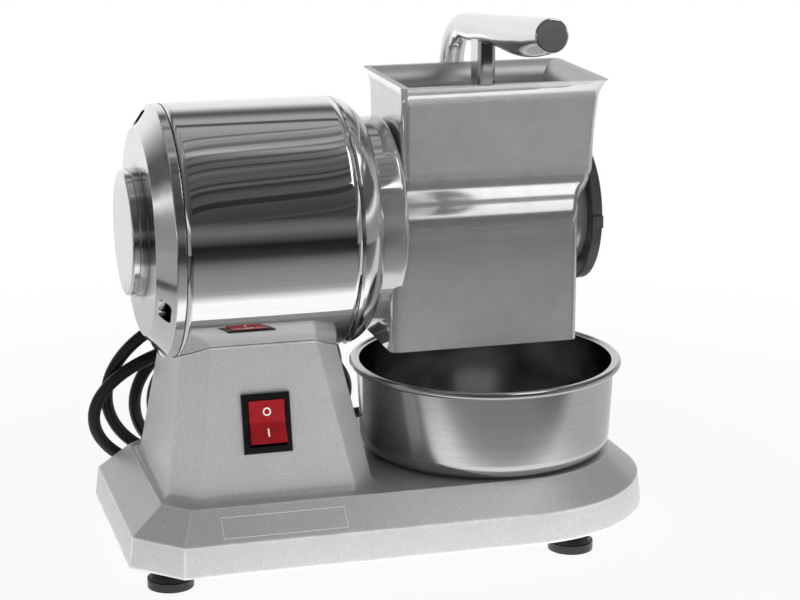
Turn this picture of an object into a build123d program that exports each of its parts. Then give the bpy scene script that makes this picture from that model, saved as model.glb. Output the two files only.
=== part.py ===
# Electric grater: motor on a pedestal base, drum grater with hopper, pusher lever, bowl and mains cord.
# Millimetres. X runs along the motor axis to the right, the front is -Y, Z is up and the floor is Z = 0.

import math
import os

from build123d import *

os.makedirs("parts", exist_ok=True)

# Clearances
seat_gap = 0.05
running_gap = 0.05
moving_gap = 0.3
screw_gap = 0.1

# Base casting
foot_height = 11.0
base_length = 292.0
base_width = 163.0
base_corner = 23.0
skirt_height = 16.0
skirt_draft = 2.0
bevel_inset = 16.5
bevel_rise = 14.0
casting_wall = 4.0
base_left = -146.0
base_right = base_left + base_length
skirt_top = foot_height + skirt_height
deck_z = skirt_top + bevel_rise

# Pedestal, as it stands on the deck
pedestal_length = 109.3
pedestal_end_margin = 5.0
pedestal_side_margin = 7.2
pedestal_left = base_left + bevel_inset + pedestal_end_margin
pedestal_right = pedestal_left + pedestal_length
pedestal_half_depth = base_width / 2 - bevel_inset - pedestal_side_margin
pedestal_corner = 13.0
pedestal_left_lean = 8.3
pedestal_right_lean = 11.8
pedestal_front_lean = 13.84
pedestal_rise = 88.0
pedestal_cavity_rise = 59.0
pedestal_edge_round = 3.0
pedestal_root_round = 4.5

# Feet, bottom plate and their screws
foot_radius = 12.0
foot_disc_height = 4.5
foot_top_radius = 8.5
foot_step = 1.0
foot_screw_radius = 2.1
foot_screw_head_radius = 3.8
foot_screw_head_z = 4.0
foot_screw_head_height = 2.5
foot_screw_top = 26.0
foot_left_x = base_left + 19.0
foot_left_y = base_width / 2 - 21.5
foot_right_x = base_right - 57.0
foot_right_y = base_width / 2 - 17.5
foot_points = [
    (foot_left_x, -foot_left_y),
    (foot_left_x, foot_left_y),
    (foot_right_x, -foot_right_y),
    (foot_right_x, foot_right_y),
]
boss_radius = 5.5
boss_top = 33.0
plate_bottom = foot_height + 2.0
plate_thickness = 1.5
plate_top = plate_bottom + plate_thickness
plate_screw_y = base_width / 2 - 25.5
plate_points = [(0.0, -plate_screw_y), (0.0, plate_screw_y)]
plate_boss_top = deck_z - casting_wall + 1.0
plate_screw_radius = 1.9
plate_screw_head_radius = 3.4
plate_screw_head_height = 1.8
plate_screw_top = 25.0

# Motor
axis_z = 172.7
shell_radius = 66.4
shell_wall = 1.2
shell_rear = -115.0
shell_front = -26.0
register_length = 7.0
register_wall = 4.0
rim_radius = 66.0
cap_rim_width = 5.3
cap_bevel_width = 8.7
cap_end_radius = 54.0
cap_boss_radius = 33.7
cap_boss_step = 4.1
cap_boss_outer_radius = 32.7
cap_rim_round = 0.8
cap_boss_round = 1.2
slot_length = 12.0
slot_width = 7.5
slot_angles = [102.0, -30.0, 216.0]
slot_floor = 4.0
slot_circle = 59.3
slot_corner = 2.5
cap_screw_radius = 2.0
cap_screw_end = -92.0
cap_screw_head_radius = 3.2
cap_screw_head_height = 2.4
cap_screw_circle = 58.8
bell_rim_width = 2.0
bell_end_radius = 57.0
bell_end_x = -12.0
bell_web = 5.0
bell_hub_radius = 23.0
bearing_radius = 17.5
bearing_width = 11.0
shaft_radius = 7.5
stator_rear = -98.0
stator_front = -46.0
stator_bore = 36.6
air_gap = 0.6
winding_inner = 40.0
winding_outer = 56.0
winding_length = 9.0
winding_slot_count = 12
winding_slot_width = 5.0
winding_round = 3.0
fan_x = -113.0
fan_hub_radius = 14.0
fan_hub_length = 8.0
fan_radius = 36.0
fan_blade_count = 9
fan_blade_thickness = 1.6
motor_screw_left = pedestal_left + 21.0
motor_screw_right = pedestal_right - 25.3
motor_screw_y = 20.0
motor_screw_points = [
    (motor_screw_left, -motor_screw_y),
    (motor_screw_left, motor_screw_y),
    (motor_screw_right, -motor_screw_y),
    (motor_screw_right, motor_screw_y),
]
motor_screw_radius = 2.5
motor_screw_head_radius = 4.4
motor_screw_head_height = 3.5
motor_screw_top = 113.5

# Switch on the front of the pedestal
switch_x = -73.0
switch_z = 78.9
bezel_width = 25.5
bezel_height = 31.0
bezel_thickness = 2.0
bezel_round = 0.9
switch_body_width = 21.6
switch_body_height = 28.0
switch_body_depth = 21.0
rocker_width = 18.7
rocker_half_height = 11.1
rocker_tip = 4.4
rocker_valley = 2.6
rocker_depth = 7.0
rocker_pocket_depth = 12.5
rocker_pivot_depth = 2.0
rocker_axle_radius = 1.4
rocker_throw = 8.0
terminal_width = 6.3
terminal_thickness = 0.8
terminal_length = 8.0

# Electrical pieces inside the pedestal
capacitor_radius = 14.0
capacitor_length = 46.0
capacitor_left = -99.0
capacitor_y = 22.0
capacitor_strap_width = 8.0
terminal_block_size = (34.0, 16.0, 13.0)
terminal_block_x = -70.0
terminal_hole_pitch = (11.0, 8.0)
terminal_hole_radius = 2.2
terminal_hole_depth = 7.0

# Grater body: round flange, drum housing, hopper and chute
flange_radius = 54.6
flange_right = 2.5
flange_edge_round = 3.0
body_wall = 4.0
chute_left = -6.0
chute_right = 96.6
chute_half_depth = 48.0
chute_bottom = 111.0
hopper_left = 4.2
hopper_right = 110.0
hopper_half_depth = 32.6
hopper_lean = 2.0
shoulder_low = 172.0
shoulder_high = 202.0
flare_low = 238.0
rim_z = 248.2
rim_left = 2.0
rim_right = 114.8
rim_half_depth = 41.6
rim_thickness = 4.0
body_edge_round = 4.3
throat_z = 186.0
throat_half_depth = 26.0
chute_neck_z = 164.0
chute_open_z = 149.0
collar_radius = 31.0
collar_end = 109.0

# Drum
drum_radius = 27.5
drum_gap = 0.9
drum_right = 101.0
drum_left = hopper_left + body_wall + drum_gap
drum_wall = 4.0
drum_tooth_count = 20
drum_ring_count = 11
drum_groove_depth = 2.6
drum_toothed_left = 18.0
drum_toothed_right = 90.0
drive_flat = 12.0
drive_end = 36.0
journal_radius = 8.0
seal_radius = 14.0
seal_width = 6.0
drive_pin_radius = 2.0
drive_pin_x = 27.0
drive_pin_sink = 1.0
flange_bolt_radius = 3.0
flange_bolt_circle = 32.0
flange_bolt_length = 15.0
flange_bolt_head_radius = 4.8
flange_bolt_head_height = 4.0

# End cover, bush and ring
cover_plate = 1.7
cover_register = 6.0
cover_step = 1.0
bush_wall = 4.0
ring_radius = 39.1
ring_left = 107.2
ring_right = 113.0
ring_lip_radius = 26.0
ring_edge_round = 0.8
ring_pocket_gap = 0.5
lug_width = 6.5
lug_rise = 0.9
lug_length = 5.8
lug_root = 6.0
lug_angle = 181.0

# Pusher lever
lever_x = 58.0
hinge_y = 59.0
hinge_z = 231.4
hinge_pin_radius = 3.5
eye_radius = 9.0
eye_width = 15.0
ear_thickness = 7.0
ear_radius = 9.0
lever_leg_radius = 6.7
lever_elbow_radius = 30.0
lever_slope = 6.0
lever_top_y = 32.0
lever_top_z = 276.2
lever_stations = [0.0, 32.0, 58.0, 90.0, 114.0, 141.0]
lever_radii = [6.7, 7.5, 8.1, 9.8, 9.9, 8.6]
grip_end_round = 1.0
post_width = 9.8
post_depth = 15.8
post_round = 2.5
plate_left = 11.5
plate_right = 100.5
plate_front = -23.5
plate_rear = 27.0
pusher_bottom = 203.5
pusher_thickness = 10.5
pusher_top = pusher_bottom + pusher_thickness
pusher_screw_radius = 3.0
pusher_screw_sink = 0.5
pusher_screw_grip = 14.5
pusher_corner = 4.0

# Bowl
bowl_rim_radius = 74.6
bowl_rim_z = 92.0
bowl_roll = 2.0
bowl_wall = 1.2
bowl_top_radius = 70.6
bowl_bottom_radius = 68.8
bowl_pedestal_gap = 7.0
bowl_x = pedestal_right + bowl_pedestal_gap + bowl_bottom_radius
bowl_corner = 9.0

# Mains cord
cord_radius = 3.5
gland_x = 55.0
gland_z = 19.0
gland_boss_radius = 8.0
gland_boss_y = base_width / 2 + 2.5
gland_flange_radius = 7.5
gland_flange = 2.5
gland_neck_radius = 5.5
gland_root_radius = 6.4
gland_tip_radius = 4.8
coil_foot_y = base_width / 2 + 19.5
coil_lean = 0.53
coil_step = 9.5
coil_loops = [
    (-71.5, 51.0, 73.5, 46.0),
    (-70.0, 63.0, 67.0, 54.0),
    (-67.5, 53.0, 51.5, 47.0),
    (-62.0, 50.0, 45.0, 44.0),
]
plug_start = (104.0, 150.0, 18.5)
plug_tail_length = 22.0
plug_tail_radius = 6.0
plug_neck_radius = 11.0
plug_body_length = 24.0
plug_face_radius = 18.0
pin_radius = 2.4
pin_length = 19.0
pin_spacing = 19.0

motor_axis = Axis((0, 0, axis_z), (1, 0, 0))
axial_profile = Plane(origin=(0, 0, axis_z), x_dir=(1, 0, 0), z_dir=(0, -1, 0))


def axial_plane(x):
    # Plane square to the motor axis: local x runs to the back, local y up
    return Plane(origin=(x, 0, axis_z), x_dir=(0, 1, 0), z_dir=(1, 0, 0))


def base_outline(inset):
    # Plan of the base: cut corners on the left, half round on the right
    cut = base_corner + inset * (math.sqrt(2) - 1) - inset
    left = base_left + inset
    half = base_width / 2 - inset
    arc_x = base_right - base_width / 2
    with BuildSketch() as outline:
        with BuildLine():
            Polyline(
                (arc_x, half),
                (left + cut, half),
                (left, half - cut),
                (left, cut - half),
                (left + cut, -half),
                (arc_x, -half),
            )
            ThreePointArc((arc_x, -half), (arc_x + half, 0), (arc_x, half))
        make_face()
    return outline.sketch


def pedestal_section(height, inset):
    # Plan of the pedestal at a height above the deck
    left = pedestal_left + height * math.tan(math.radians(pedestal_left_lean)) + inset
    right = pedestal_right - height * math.tan(math.radians(pedestal_right_lean)) - inset
    half = pedestal_half_depth - height * math.tan(math.radians(pedestal_front_lean)) - inset
    corner = pedestal_corner - inset * (2 - math.sqrt(2))
    with BuildSketch() as section:
        with Locations(((left + right) / 2, 0)):
            Rectangle(right - left, 2 * half)
        chamfer(section.vertices(), length=corner)
    return section.sketch


def pedestal_front_y(z):
    return (z - deck_z) * math.tan(math.radians(pedestal_front_lean)) - pedestal_half_depth


front_normal = (
    0,
    -math.cos(math.radians(pedestal_front_lean)),
    math.sin(math.radians(pedestal_front_lean)),
)
switch_plane = Plane(
    origin=(switch_x, pedestal_front_y(switch_z), switch_z), x_dir=(1, 0, 0), z_dir=front_normal
)

# Base and pedestal casting, hollow from below
with BuildPart() as base_casting:
    with BuildSketch(Plane.XY.offset(foot_height)):
        add(base_outline(-skirt_draft))
    with BuildSketch(Plane.XY.offset(skirt_top)):
        add(base_outline(0))
    loft(ruled=True)
    with BuildSketch(Plane.XY.offset(skirt_top)):
        add(base_outline(0))
    with BuildSketch(Plane.XY.offset(deck_z)):
        add(base_outline(bevel_inset))
    loft(ruled=True)
    with BuildSketch(Plane.XY.offset(deck_z)):
        add(pedestal_section(0, 0))
    with BuildSketch(Plane.XY.offset(deck_z + pedestal_rise)):
        add(pedestal_section(pedestal_rise, 0))
    loft(ruled=True)
    pedestal_mid = deck_z + pedestal_rise / 2
    leaning_edges = base_casting.edges().filter_by_position(Axis.Z, pedestal_mid - 5, pedestal_mid + 5)
    fillet(leaning_edges, radius=pedestal_edge_round)
    pedestal_sides = base_casting.faces().filter_by_position(Axis.Z, pedestal_mid - 15, pedestal_mid + 15)
    root_edges = pedestal_sides.edges().filter_by_position(Axis.Z, deck_z - 0.1, deck_z + 0.1)
    fillet(root_edges, radius=pedestal_root_round)
    with BuildSketch(axial_plane(pedestal_left)):
        Circle(shell_radius + seat_gap)
    extrude(amount=pedestal_right - pedestal_left, mode=Mode.SUBTRACT)
    # Raised pad for the cord gland on the back of the skirt
    with BuildSketch(Plane.XZ.offset(-gland_boss_y)):
        with Locations((gland_x, gland_z)):
            Circle(gland_boss_radius)
    extrude(amount=casting_wall)
    # Hollow of the skirt, the bevel and the pedestal
    with BuildSketch(Plane.XY.offset(foot_height)):
        add(base_outline(casting_wall - skirt_draft))
    with BuildSketch(Plane.XY.offset(skirt_top)):
        add(base_outline(casting_wall))
    loft(ruled=True, mode=Mode.SUBTRACT)
    with BuildSketch(Plane.XY.offset(skirt_top)):
        add(base_outline(casting_wall))
    with BuildSketch(Plane.XY.offset(deck_z - casting_wall)):
        add(base_outline(bevel_inset + casting_wall / 2))
    loft(ruled=True, mode=Mode.SUBTRACT)
    with BuildSketch(Plane.XY.offset(deck_z - casting_wall)):
        add(pedestal_section(-casting_wall, casting_wall))
    with BuildSketch(Plane.XY.offset(deck_z + pedestal_cavity_rise)):
        add(pedestal_section(pedestal_cavity_rise, casting_wall))
    loft(ruled=True, mode=Mode.SUBTRACT)
    # Screw bosses
    with BuildSketch(Plane.XY.offset(plate_top)):
        with Locations(*foot_points):
            Circle(boss_radius)
    extrude(amount=boss_top - plate_top)
    with BuildSketch(Plane.XY.offset(plate_top)):
        with Locations(*plate_points):
            Circle(boss_radius)
    extrude(amount=plate_boss_top - plate_top)
    with BuildSketch(Plane.XY.offset(plate_top)):
        with Locations(*foot_points):
            Circle(foot_screw_radius + screw_gap)
    extrude(amount=foot_screw_top + screw_gap - plate_top, mode=Mode.SUBTRACT)
    with BuildSketch(Plane.XY.offset(plate_top)):
        with Locations(*plate_points):
            Circle(plate_screw_radius + screw_gap)
    extrude(amount=plate_screw_top + screw_gap - plate_top, mode=Mode.SUBTRACT)
    # Openings for the switch, the gland and the screws of the motor
    with BuildSketch(switch_plane):
        Rectangle(switch_body_width + 2 * seat_gap, switch_body_height + 2 * seat_gap)
    extrude(amount=-3 * casting_wall, mode=Mode.SUBTRACT)
    with BuildSketch(Plane.XZ.offset(-gland_boss_y)):
        with Locations((gland_x, gland_z)):
            Circle(gland_neck_radius + seat_gap)
    extrude(amount=3 * casting_wall, mode=Mode.SUBTRACT)
    with BuildSketch(Plane.XY.offset(deck_z + pedestal_cavity_rise - 1)):
        with Locations(*motor_screw_points):
            Circle(motor_screw_radius + screw_gap)
    extrude(amount=20, mode=Mode.SUBTRACT)
base_casting.part.label = "base_casting"
export_step(base_casting.part, "parts/base_casting.step")

with BuildPart() as bottom_plate:
    with BuildSketch(Plane.XY.offset(plate_bottom)):
        add(base_outline(casting_wall + moving_gap))
        with Locations(*foot_points):
            Circle(foot_screw_radius + screw_gap, mode=Mode.SUBTRACT)
        with Locations(*plate_points):
            Circle(plate_screw_radius + screw_gap, mode=Mode.SUBTRACT)
    extrude(amount=plate_thickness)
bottom_plate.part.label = "bottom_plate"
export_step(bottom_plate.part, "parts/bottom_plate.step")

with BuildPart() as bottom_plate_screws:
    with BuildSketch(Plane.XY.offset(plate_bottom - plate_screw_head_height)):
        with Locations(*plate_points):
            Circle(plate_screw_head_radius)
    extrude(amount=plate_screw_head_height)
    with BuildSketch(Plane.XY.offset(plate_bottom)):
        with Locations(*plate_points):
            Circle(plate_screw_radius)
    extrude(amount=plate_screw_top - plate_bottom)
bottom_plate_screws.part.label = "bottom_plate_screws"
export_step(bottom_plate_screws.part, "parts/bottom_plate_screws.step")

# Rubber feet: wide disc below, cone above, screwed up through the bottom plate
foot_cone_height = plate_bottom - foot_disc_height
foot_cone_taper = math.degrees(math.atan((foot_radius - foot_step - foot_top_radius) / foot_cone_height))
foot_screw_head_top = foot_screw_head_z + foot_screw_head_height
with BuildPart() as rubber_feet:
    with BuildSketch(Plane.XY):
        with Locations(*foot_points):
            Circle(foot_radius)
    extrude(amount=foot_disc_height)
    with BuildSketch(Plane.XY.offset(foot_disc_height)):
        with Locations(*foot_points):
            Circle(foot_radius - foot_step)
    extrude(amount=foot_cone_height, taper=foot_cone_taper)
    with BuildSketch(Plane.XY):
        with Locations(*foot_points):
            Circle(foot_screw_head_radius + screw_gap)
    extrude(amount=foot_screw_head_top, mode=Mode.SUBTRACT)
    with BuildSketch(Plane.XY):
        with Locations(*foot_points):
            Circle(foot_screw_radius + screw_gap)
    extrude(amount=plate_bottom, mode=Mode.SUBTRACT)
rubber_feet.part.label = "rubber_feet"
export_step(rubber_feet.part, "parts/rubber_feet.step")

with BuildPart() as foot_screws:
    with BuildSketch(Plane.XY.offset(foot_screw_head_z)):
        with Locations(*foot_points):
            Circle(foot_screw_head_radius)
    extrude(amount=foot_screw_head_height)
    with BuildSketch(Plane.XY.offset(foot_screw_head_top)):
        with Locations(*foot_points):
            Circle(foot_screw_radius)
    extrude(amount=foot_screw_top - foot_screw_head_top)
foot_screws.part.label = "foot_screws"
export_step(foot_screws.part, "parts/foot_screws.step")

# Rocker switch: housing with bezel, rocker on its axle, terminals
pocket_width = rocker_width + 2 * moving_gap
pocket_height = 2 * rocker_half_height + 6 * moving_gap
rocker_pivot = switch_plane.offset(-rocker_pivot_depth)
axle_half = rocker_width / 2 + 1.0
with BuildPart() as switch_housing:
    with BuildSketch(switch_plane):
        Rectangle(bezel_width, bezel_height)
    extrude(amount=bezel_thickness)
    bezel_rim = switch_housing.faces().sort_by(Axis(switch_plane.origin, front_normal))[-1].edges()
    fillet(bezel_rim, radius=bezel_round)
    with BuildSketch(switch_plane):
        Rectangle(switch_body_width, switch_body_height)
    extrude(amount=-switch_body_depth)
    with BuildSketch(switch_plane.offset(bezel_thickness)):
        Rectangle(pocket_width, pocket_height)
    extrude(amount=-bezel_thickness - rocker_pocket_depth, mode=Mode.SUBTRACT)
    with BuildSketch(Plane(rocker_pivot.origin, x_dir=(0, 0, 1), z_dir=(1, 0, 0))):
        Circle(rocker_axle_radius + running_gap)
    extrude(amount=axle_half + running_gap, both=True, mode=Mode.SUBTRACT)
switch_housing.part.label = "switch_housing"
export_step(switch_housing.part, "parts/switch_housing.step")

# The rocker lies with its upper half (O) pressed in
rocker_tilt = math.radians(pedestal_front_lean + rocker_throw)
rocker_up = (0, math.sin(rocker_tilt), math.cos(rocker_tilt))
rocker_profile = Plane(rocker_pivot.origin, x_dir=rocker_up, z_dir=(1, 0, 0))
with BuildPart() as switch_rocker:
    with BuildSketch(rocker_profile):
        with BuildLine():
            Polyline(
                (rocker_half_height, -1.0),
                (rocker_half_height, rocker_tip + rocker_pivot_depth),
                (0, rocker_valley + rocker_pivot_depth),
                (-rocker_half_height, rocker_tip + rocker_pivot_depth),
                (-rocker_half_height, -1.0),
                (-rocker_half_height / 2, -rocker_depth),
                (rocker_half_height / 2, -rocker_depth),
                close=True,
            )
        make_face()
    extrude(amount=rocker_width / 2, both=True)
    with BuildSketch(rocker_profile):
        Circle(rocker_axle_radius)
    extrude(amount=axle_half, both=True)
switch_rocker.part.label = "switch_rocker"
export_step(switch_rocker.part, "parts/switch_rocker.step")

terminal_spots = [(-5.5, -8.0), (5.5, -8.0), (-5.5, 8.0), (5.5, 8.0)]
with BuildPart() as switch_terminals:
    with BuildSketch(switch_plane.offset(-switch_body_depth)):
        with Locations(*terminal_spots):
            Rectangle(terminal_width, terminal_thickness)
    extrude(amount=-terminal_length)
switch_terminals.part.label = "switch_terminals"
export_step(switch_terminals.part, "parts/switch_terminals.step")

# Run capacitor and terminal block on the underside of the saddle and the deck plate
saddle_z = deck_z + pedestal_cavity_rise
with BuildPart() as capacitor:
    with BuildSketch(Plane.YZ.offset(capacitor_left)):
        with Locations((capacitor_y, saddle_z - capacitor_radius - motor_screw_head_height - 1)):
            Circle(capacitor_radius)
    extrude(amount=capacitor_length)
    with BuildSketch(Plane.XY.offset(saddle_z)):
        with Locations((capacitor_left + capacitor_length / 2, capacitor_y)):
            Rectangle(capacitor_length / 2, capacitor_strap_width)
    extrude(amount=-motor_screw_head_height - 2)
capacitor.part.label = "capacitor"
export_step(capacitor.part, "parts/capacitor.step")

with BuildPart() as terminal_block:
    with BuildSketch(Plane.XY.offset(plate_top)):
        with Locations((terminal_block_x, 0)):
            Rectangle(terminal_block_size[0], terminal_block_size[1])
    extrude(amount=terminal_block_size[2])
    with BuildSketch(Plane.XY.offset(plate_top + terminal_block_size[2])):
        with GridLocations(terminal_hole_pitch[0], terminal_hole_pitch[1], 3, 2):
            with Locations((terminal_block_x, 0)):
                Circle(terminal_hole_radius)
    extrude(amount=-terminal_hole_depth, mode=Mode.SUBTRACT)
terminal_block.part.label = "terminal_block"
export_step(terminal_block.part, "parts/terminal_block.step")

# Motor shell: polished tube with screw holes in its underside
with BuildPart() as motor_shell:
    with BuildSketch(axial_plane(shell_rear)):
        Circle(shell_radius)
        Circle(shell_radius - shell_wall, mode=Mode.SUBTRACT)
    extrude(amount=shell_front - shell_rear)
    with BuildSketch(Plane.XY.offset(saddle_z)):
        with Locations(*motor_screw_points):
            Circle(motor_screw_radius + screw_gap)
    extrude(amount=20, mode=Mode.SUBTRACT)
motor_shell.part.label = "motor_shell"
export_step(motor_shell.part, "parts/motor_shell.step")

with BuildPart() as motor_screws:
    with BuildSketch(Plane.XY.offset(saddle_z)):
        with Locations(*motor_screw_points):
            Circle(motor_screw_head_radius)
    extrude(amount=-motor_screw_head_height)
    with BuildSketch(Plane.XY.offset(saddle_z)):
        with Locations(*motor_screw_points):
            Circle(motor_screw_radius)
    extrude(amount=motor_screw_top - saddle_z)
motor_screws.part.label = "motor_screws"
export_step(motor_screws.part, "parts/motor_screws.step")

# Rear cap: rim, bevel with slots, end face and a stepped boss that holds the rear bearing
register_radius = shell_radius - shell_wall - seat_gap
register_inner = register_radius - register_wall
cap_rim_x = shell_rear - cap_rim_width
cap_end_x = cap_rim_x - cap_bevel_width
cap_step_x = cap_end_x - cap_boss_step
cap_boss_x = cap_step_x - cap_boss_step
cap_slot_x = shell_rear - slot_floor
rear_bearing_x = cap_boss_x + casting_wall
rear_hub_x = rear_bearing_x + bearing_width
with BuildPart() as rear_cap:
    with BuildSketch(axial_profile) as cap_half:
        with BuildLine():
            Polyline(
                (shell_rear + register_length, register_inner),
                (shell_rear + register_length, register_radius),
                (shell_rear, register_radius),
                (shell_rear, rim_radius),
                (cap_rim_x, rim_radius),
                (cap_end_x, cap_end_radius),
                (cap_end_x, cap_boss_radius),
                (cap_step_x, cap_boss_radius),
                (cap_step_x, cap_boss_outer_radius),
                (cap_boss_x, cap_boss_outer_radius),
                (cap_boss_x, 0),
                (rear_bearing_x, 0),
                (rear_bearing_x, bearing_radius + seat_gap),
                (rear_hub_x, bearing_radius + seat_gap),
                (rear_hub_x, bell_hub_radius),
                (cap_end_x + casting_wall, bell_hub_radius),
                (cap_end_x + casting_wall, cap_end_radius - 2.5 * casting_wall),
                (shell_rear, register_inner),
                close=True,
            )
        make_face()
        rim_corners = cap_half.vertices().filter_by_position(Axis.Y, rim_radius - 0.1, rim_radius + 0.1)
        fillet(rim_corners, radius=cap_rim_round)
        fillet(cap_half.vertices().group_by(Axis.X)[0].sort_by(Axis.Y)[-1], radius=cap_boss_round)
    revolve(axis=motor_axis)
    with BuildSketch(axial_plane(cap_slot_x)):
        for angle in slot_angles:
            with PolarLocations(slot_circle, 1, start_angle=180 - angle):
                RectangleRounded(slot_width, slot_length, slot_corner)
    extrude(amount=cap_boss_x - cap_slot_x, mode=Mode.SUBTRACT)
    with BuildSketch(axial_plane(cap_slot_x)):
        for angle in slot_angles:
            with PolarLocations(cap_screw_circle, 1, start_angle=180 - angle):
                Circle(cap_screw_radius + screw_gap)
    extrude(amount=3 * casting_wall, mode=Mode.SUBTRACT)
rear_cap.part.label = "rear_cap"
export_step(rear_cap.part, "parts/rear_cap.step")

with BuildPart() as rear_cap_screws:
    with BuildSketch(axial_plane(cap_slot_x)):
        for angle in slot_angles:
            with PolarLocations(cap_screw_circle, 1, start_angle=180 - angle):
                Circle(cap_screw_radius)
    extrude(amount=cap_screw_end - cap_slot_x)
    with BuildSketch(axial_plane(cap_slot_x)):
        for angle in slot_angles:
            with PolarLocations(cap_screw_circle, 1, start_angle=180 - angle):
                Circle(cap_screw_head_radius)
    extrude(amount=-cap_screw_head_height)
rear_cap_screws.part.label = "rear_cap_screws"
export_step(rear_cap_screws.part, "parts/rear_cap_screws.step")

# Front bell: rim, cone and web with the front bearing hub
front_bearing_x = bell_end_x - bell_web - bearing_width
with BuildPart() as front_bell:
    with BuildSketch(axial_profile):
        with BuildLine():
            Polyline(
                (shell_front - register_length, register_inner),
                (shell_front - register_length, register_radius),
                (shell_front, register_radius),
                (shell_front, rim_radius),
                (shell_front + bell_rim_width, rim_radius),
            )
            TangentArc(
                (shell_front + bell_rim_width, rim_radius),
                (bell_end_x, bell_end_radius),
                tangent=(1, -0.25),
            )
            Polyline(
                (bell_end_x, bell_end_radius),
                (bell_end_x, shaft_radius + 2 * moving_gap),
                (bell_end_x - bell_web, shaft_radius + 2 * moving_gap),
                (bell_end_x - bell_web, bearing_radius + seat_gap),
                (front_bearing_x, bearing_radius + seat_gap),
                (front_bearing_x, bell_hub_radius),
                (bell_end_x - bell_web, bell_hub_radius),
                (bell_end_x - bell_web, bell_end_radius - 2 * casting_wall),
                (shell_front, register_inner),
                (shell_front - register_length, register_inner),
            )
        make_face()
    revolve(axis=motor_axis)
    with BuildSketch(axial_plane(bell_end_x)):
        with PolarLocations(flange_bolt_circle, 4, start_angle=45):
            Circle(flange_bolt_radius + screw_gap)
    extrude(amount=-2 * bell_web, mode=Mode.SUBTRACT)
front_bell.part.label = "front_bell"
export_step(front_bell.part, "parts/front_bell.step")

with BuildPart() as flange_bolts:
    with BuildSketch(axial_plane(bell_end_x - bell_web)):
        with PolarLocations(flange_bolt_circle, 4, start_angle=45):
            RegularPolygon(flange_bolt_head_radius, 6)
    extrude(amount=-flange_bolt_head_height)
    with BuildSketch(axial_plane(bell_end_x - bell_web)):
        with PolarLocations(flange_bolt_circle, 4, start_angle=45):
            Circle(flange_bolt_radius)
    extrude(amount=flange_bolt_length)
flange_bolts.part.label = "flange_bolts"
export_step(flange_bolts.part, "parts/flange_bolts.step")

# Stator, windings and bearings
with BuildPart() as stator_core:
    with BuildSketch(axial_plane(stator_rear)):
        Circle(shell_radius - shell_wall - seat_gap)
        Circle(stator_bore, mode=Mode.SUBTRACT)
        with PolarLocations((winding_inner + winding_outer) / 2, winding_slot_count):
            SlotOverall(winding_outer - winding_inner, winding_slot_width, mode=Mode.SUBTRACT)
    extrude(amount=stator_front - stator_rear)
    with BuildSketch(axial_plane(stator_rear)):
        for angle in slot_angles:
            with PolarLocations(cap_screw_circle, 1, start_angle=180 - angle):
                Circle(cap_screw_radius + screw_gap)
    extrude(amount=cap_screw_end + screw_gap - stator_rear, mode=Mode.SUBTRACT)
stator_core.part.label = "stator_core"
export_step(stator_core.part, "parts/stator_core.step")

with BuildPart() as stator_windings:
    with BuildSketch(axial_plane(stator_rear)):
        Circle(winding_outer)
        Circle(winding_inner, mode=Mode.SUBTRACT)
    extrude(amount=-winding_length)
    with BuildSketch(axial_plane(stator_front)):
        Circle(winding_outer)
        Circle(winding_inner, mode=Mode.SUBTRACT)
    extrude(amount=winding_length)
    front_edges = stator_windings.edges().filter_by_position(Axis.X, stator_front + 1, shell_front)
    fillet(front_edges, radius=winding_round)
    rear_edges = stator_windings.edges().filter_by_position(Axis.X, shell_rear, stator_rear - 1)
    fillet(rear_edges, radius=winding_round)
    with BuildSketch(axial_plane(stator_rear)):
        with PolarLocations((winding_inner + winding_outer) / 2, winding_slot_count):
            SlotOverall(winding_outer - winding_inner - 2 * seat_gap, winding_slot_width - 2 * seat_gap)
    extrude(amount=stator_front - stator_rear)
stator_windings.part.label = "stator_windings"
export_step(stator_windings.part, "parts/stator_windings.step")

with BuildPart() as rear_bearing:
    with BuildSketch(axial_plane(rear_bearing_x)):
        Circle(bearing_radius)
        Circle(shaft_radius + running_gap, mode=Mode.SUBTRACT)
    extrude(amount=bearing_width)
rear_bearing.part.label = "rear_bearing"
export_step(rear_bearing.part, "parts/rear_bearing.step")

with BuildPart() as front_bearing:
    with BuildSketch(axial_plane(front_bearing_x)):
        Circle(bearing_radius)
        Circle(shaft_radius + running_gap, mode=Mode.SUBTRACT)
    extrude(amount=bearing_width)
front_bearing.part.label = "front_bearing"
export_step(front_bearing.part, "parts/front_bearing.step")

# Rotor: shaft with a hexagon end, core and fan
with BuildPart() as rotor_shaft:
    with BuildSketch(axial_plane(rear_bearing_x + moving_gap)):
        Circle(shaft_radius)
    extrude(amount=drum_left - rear_bearing_x - moving_gap)
    with BuildSketch(axial_plane(drum_left)):
        RegularPolygon(drive_flat / 2, 6, major_radius=False)
    extrude(amount=drive_end - drum_left)
    with BuildSketch(Plane.XY.offset(axis_z)):
        with Locations((drive_pin_x, 0)):
            Circle(drive_pin_radius + screw_gap)
    extrude(amount=drive_flat, both=True, mode=Mode.SUBTRACT)
rotor_shaft.part.label = "rotor_shaft"
export_step(rotor_shaft.part, "parts/rotor_shaft.step")

with BuildPart() as rotor_core:
    with BuildSketch(axial_plane(stator_rear)):
        Circle(stator_bore - air_gap)
        Circle(shaft_radius + seat_gap, mode=Mode.SUBTRACT)
    extrude(amount=stator_front - stator_rear)
rotor_core.part.label = "rotor_core"
export_step(rotor_core.part, "parts/rotor_core.step")

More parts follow.
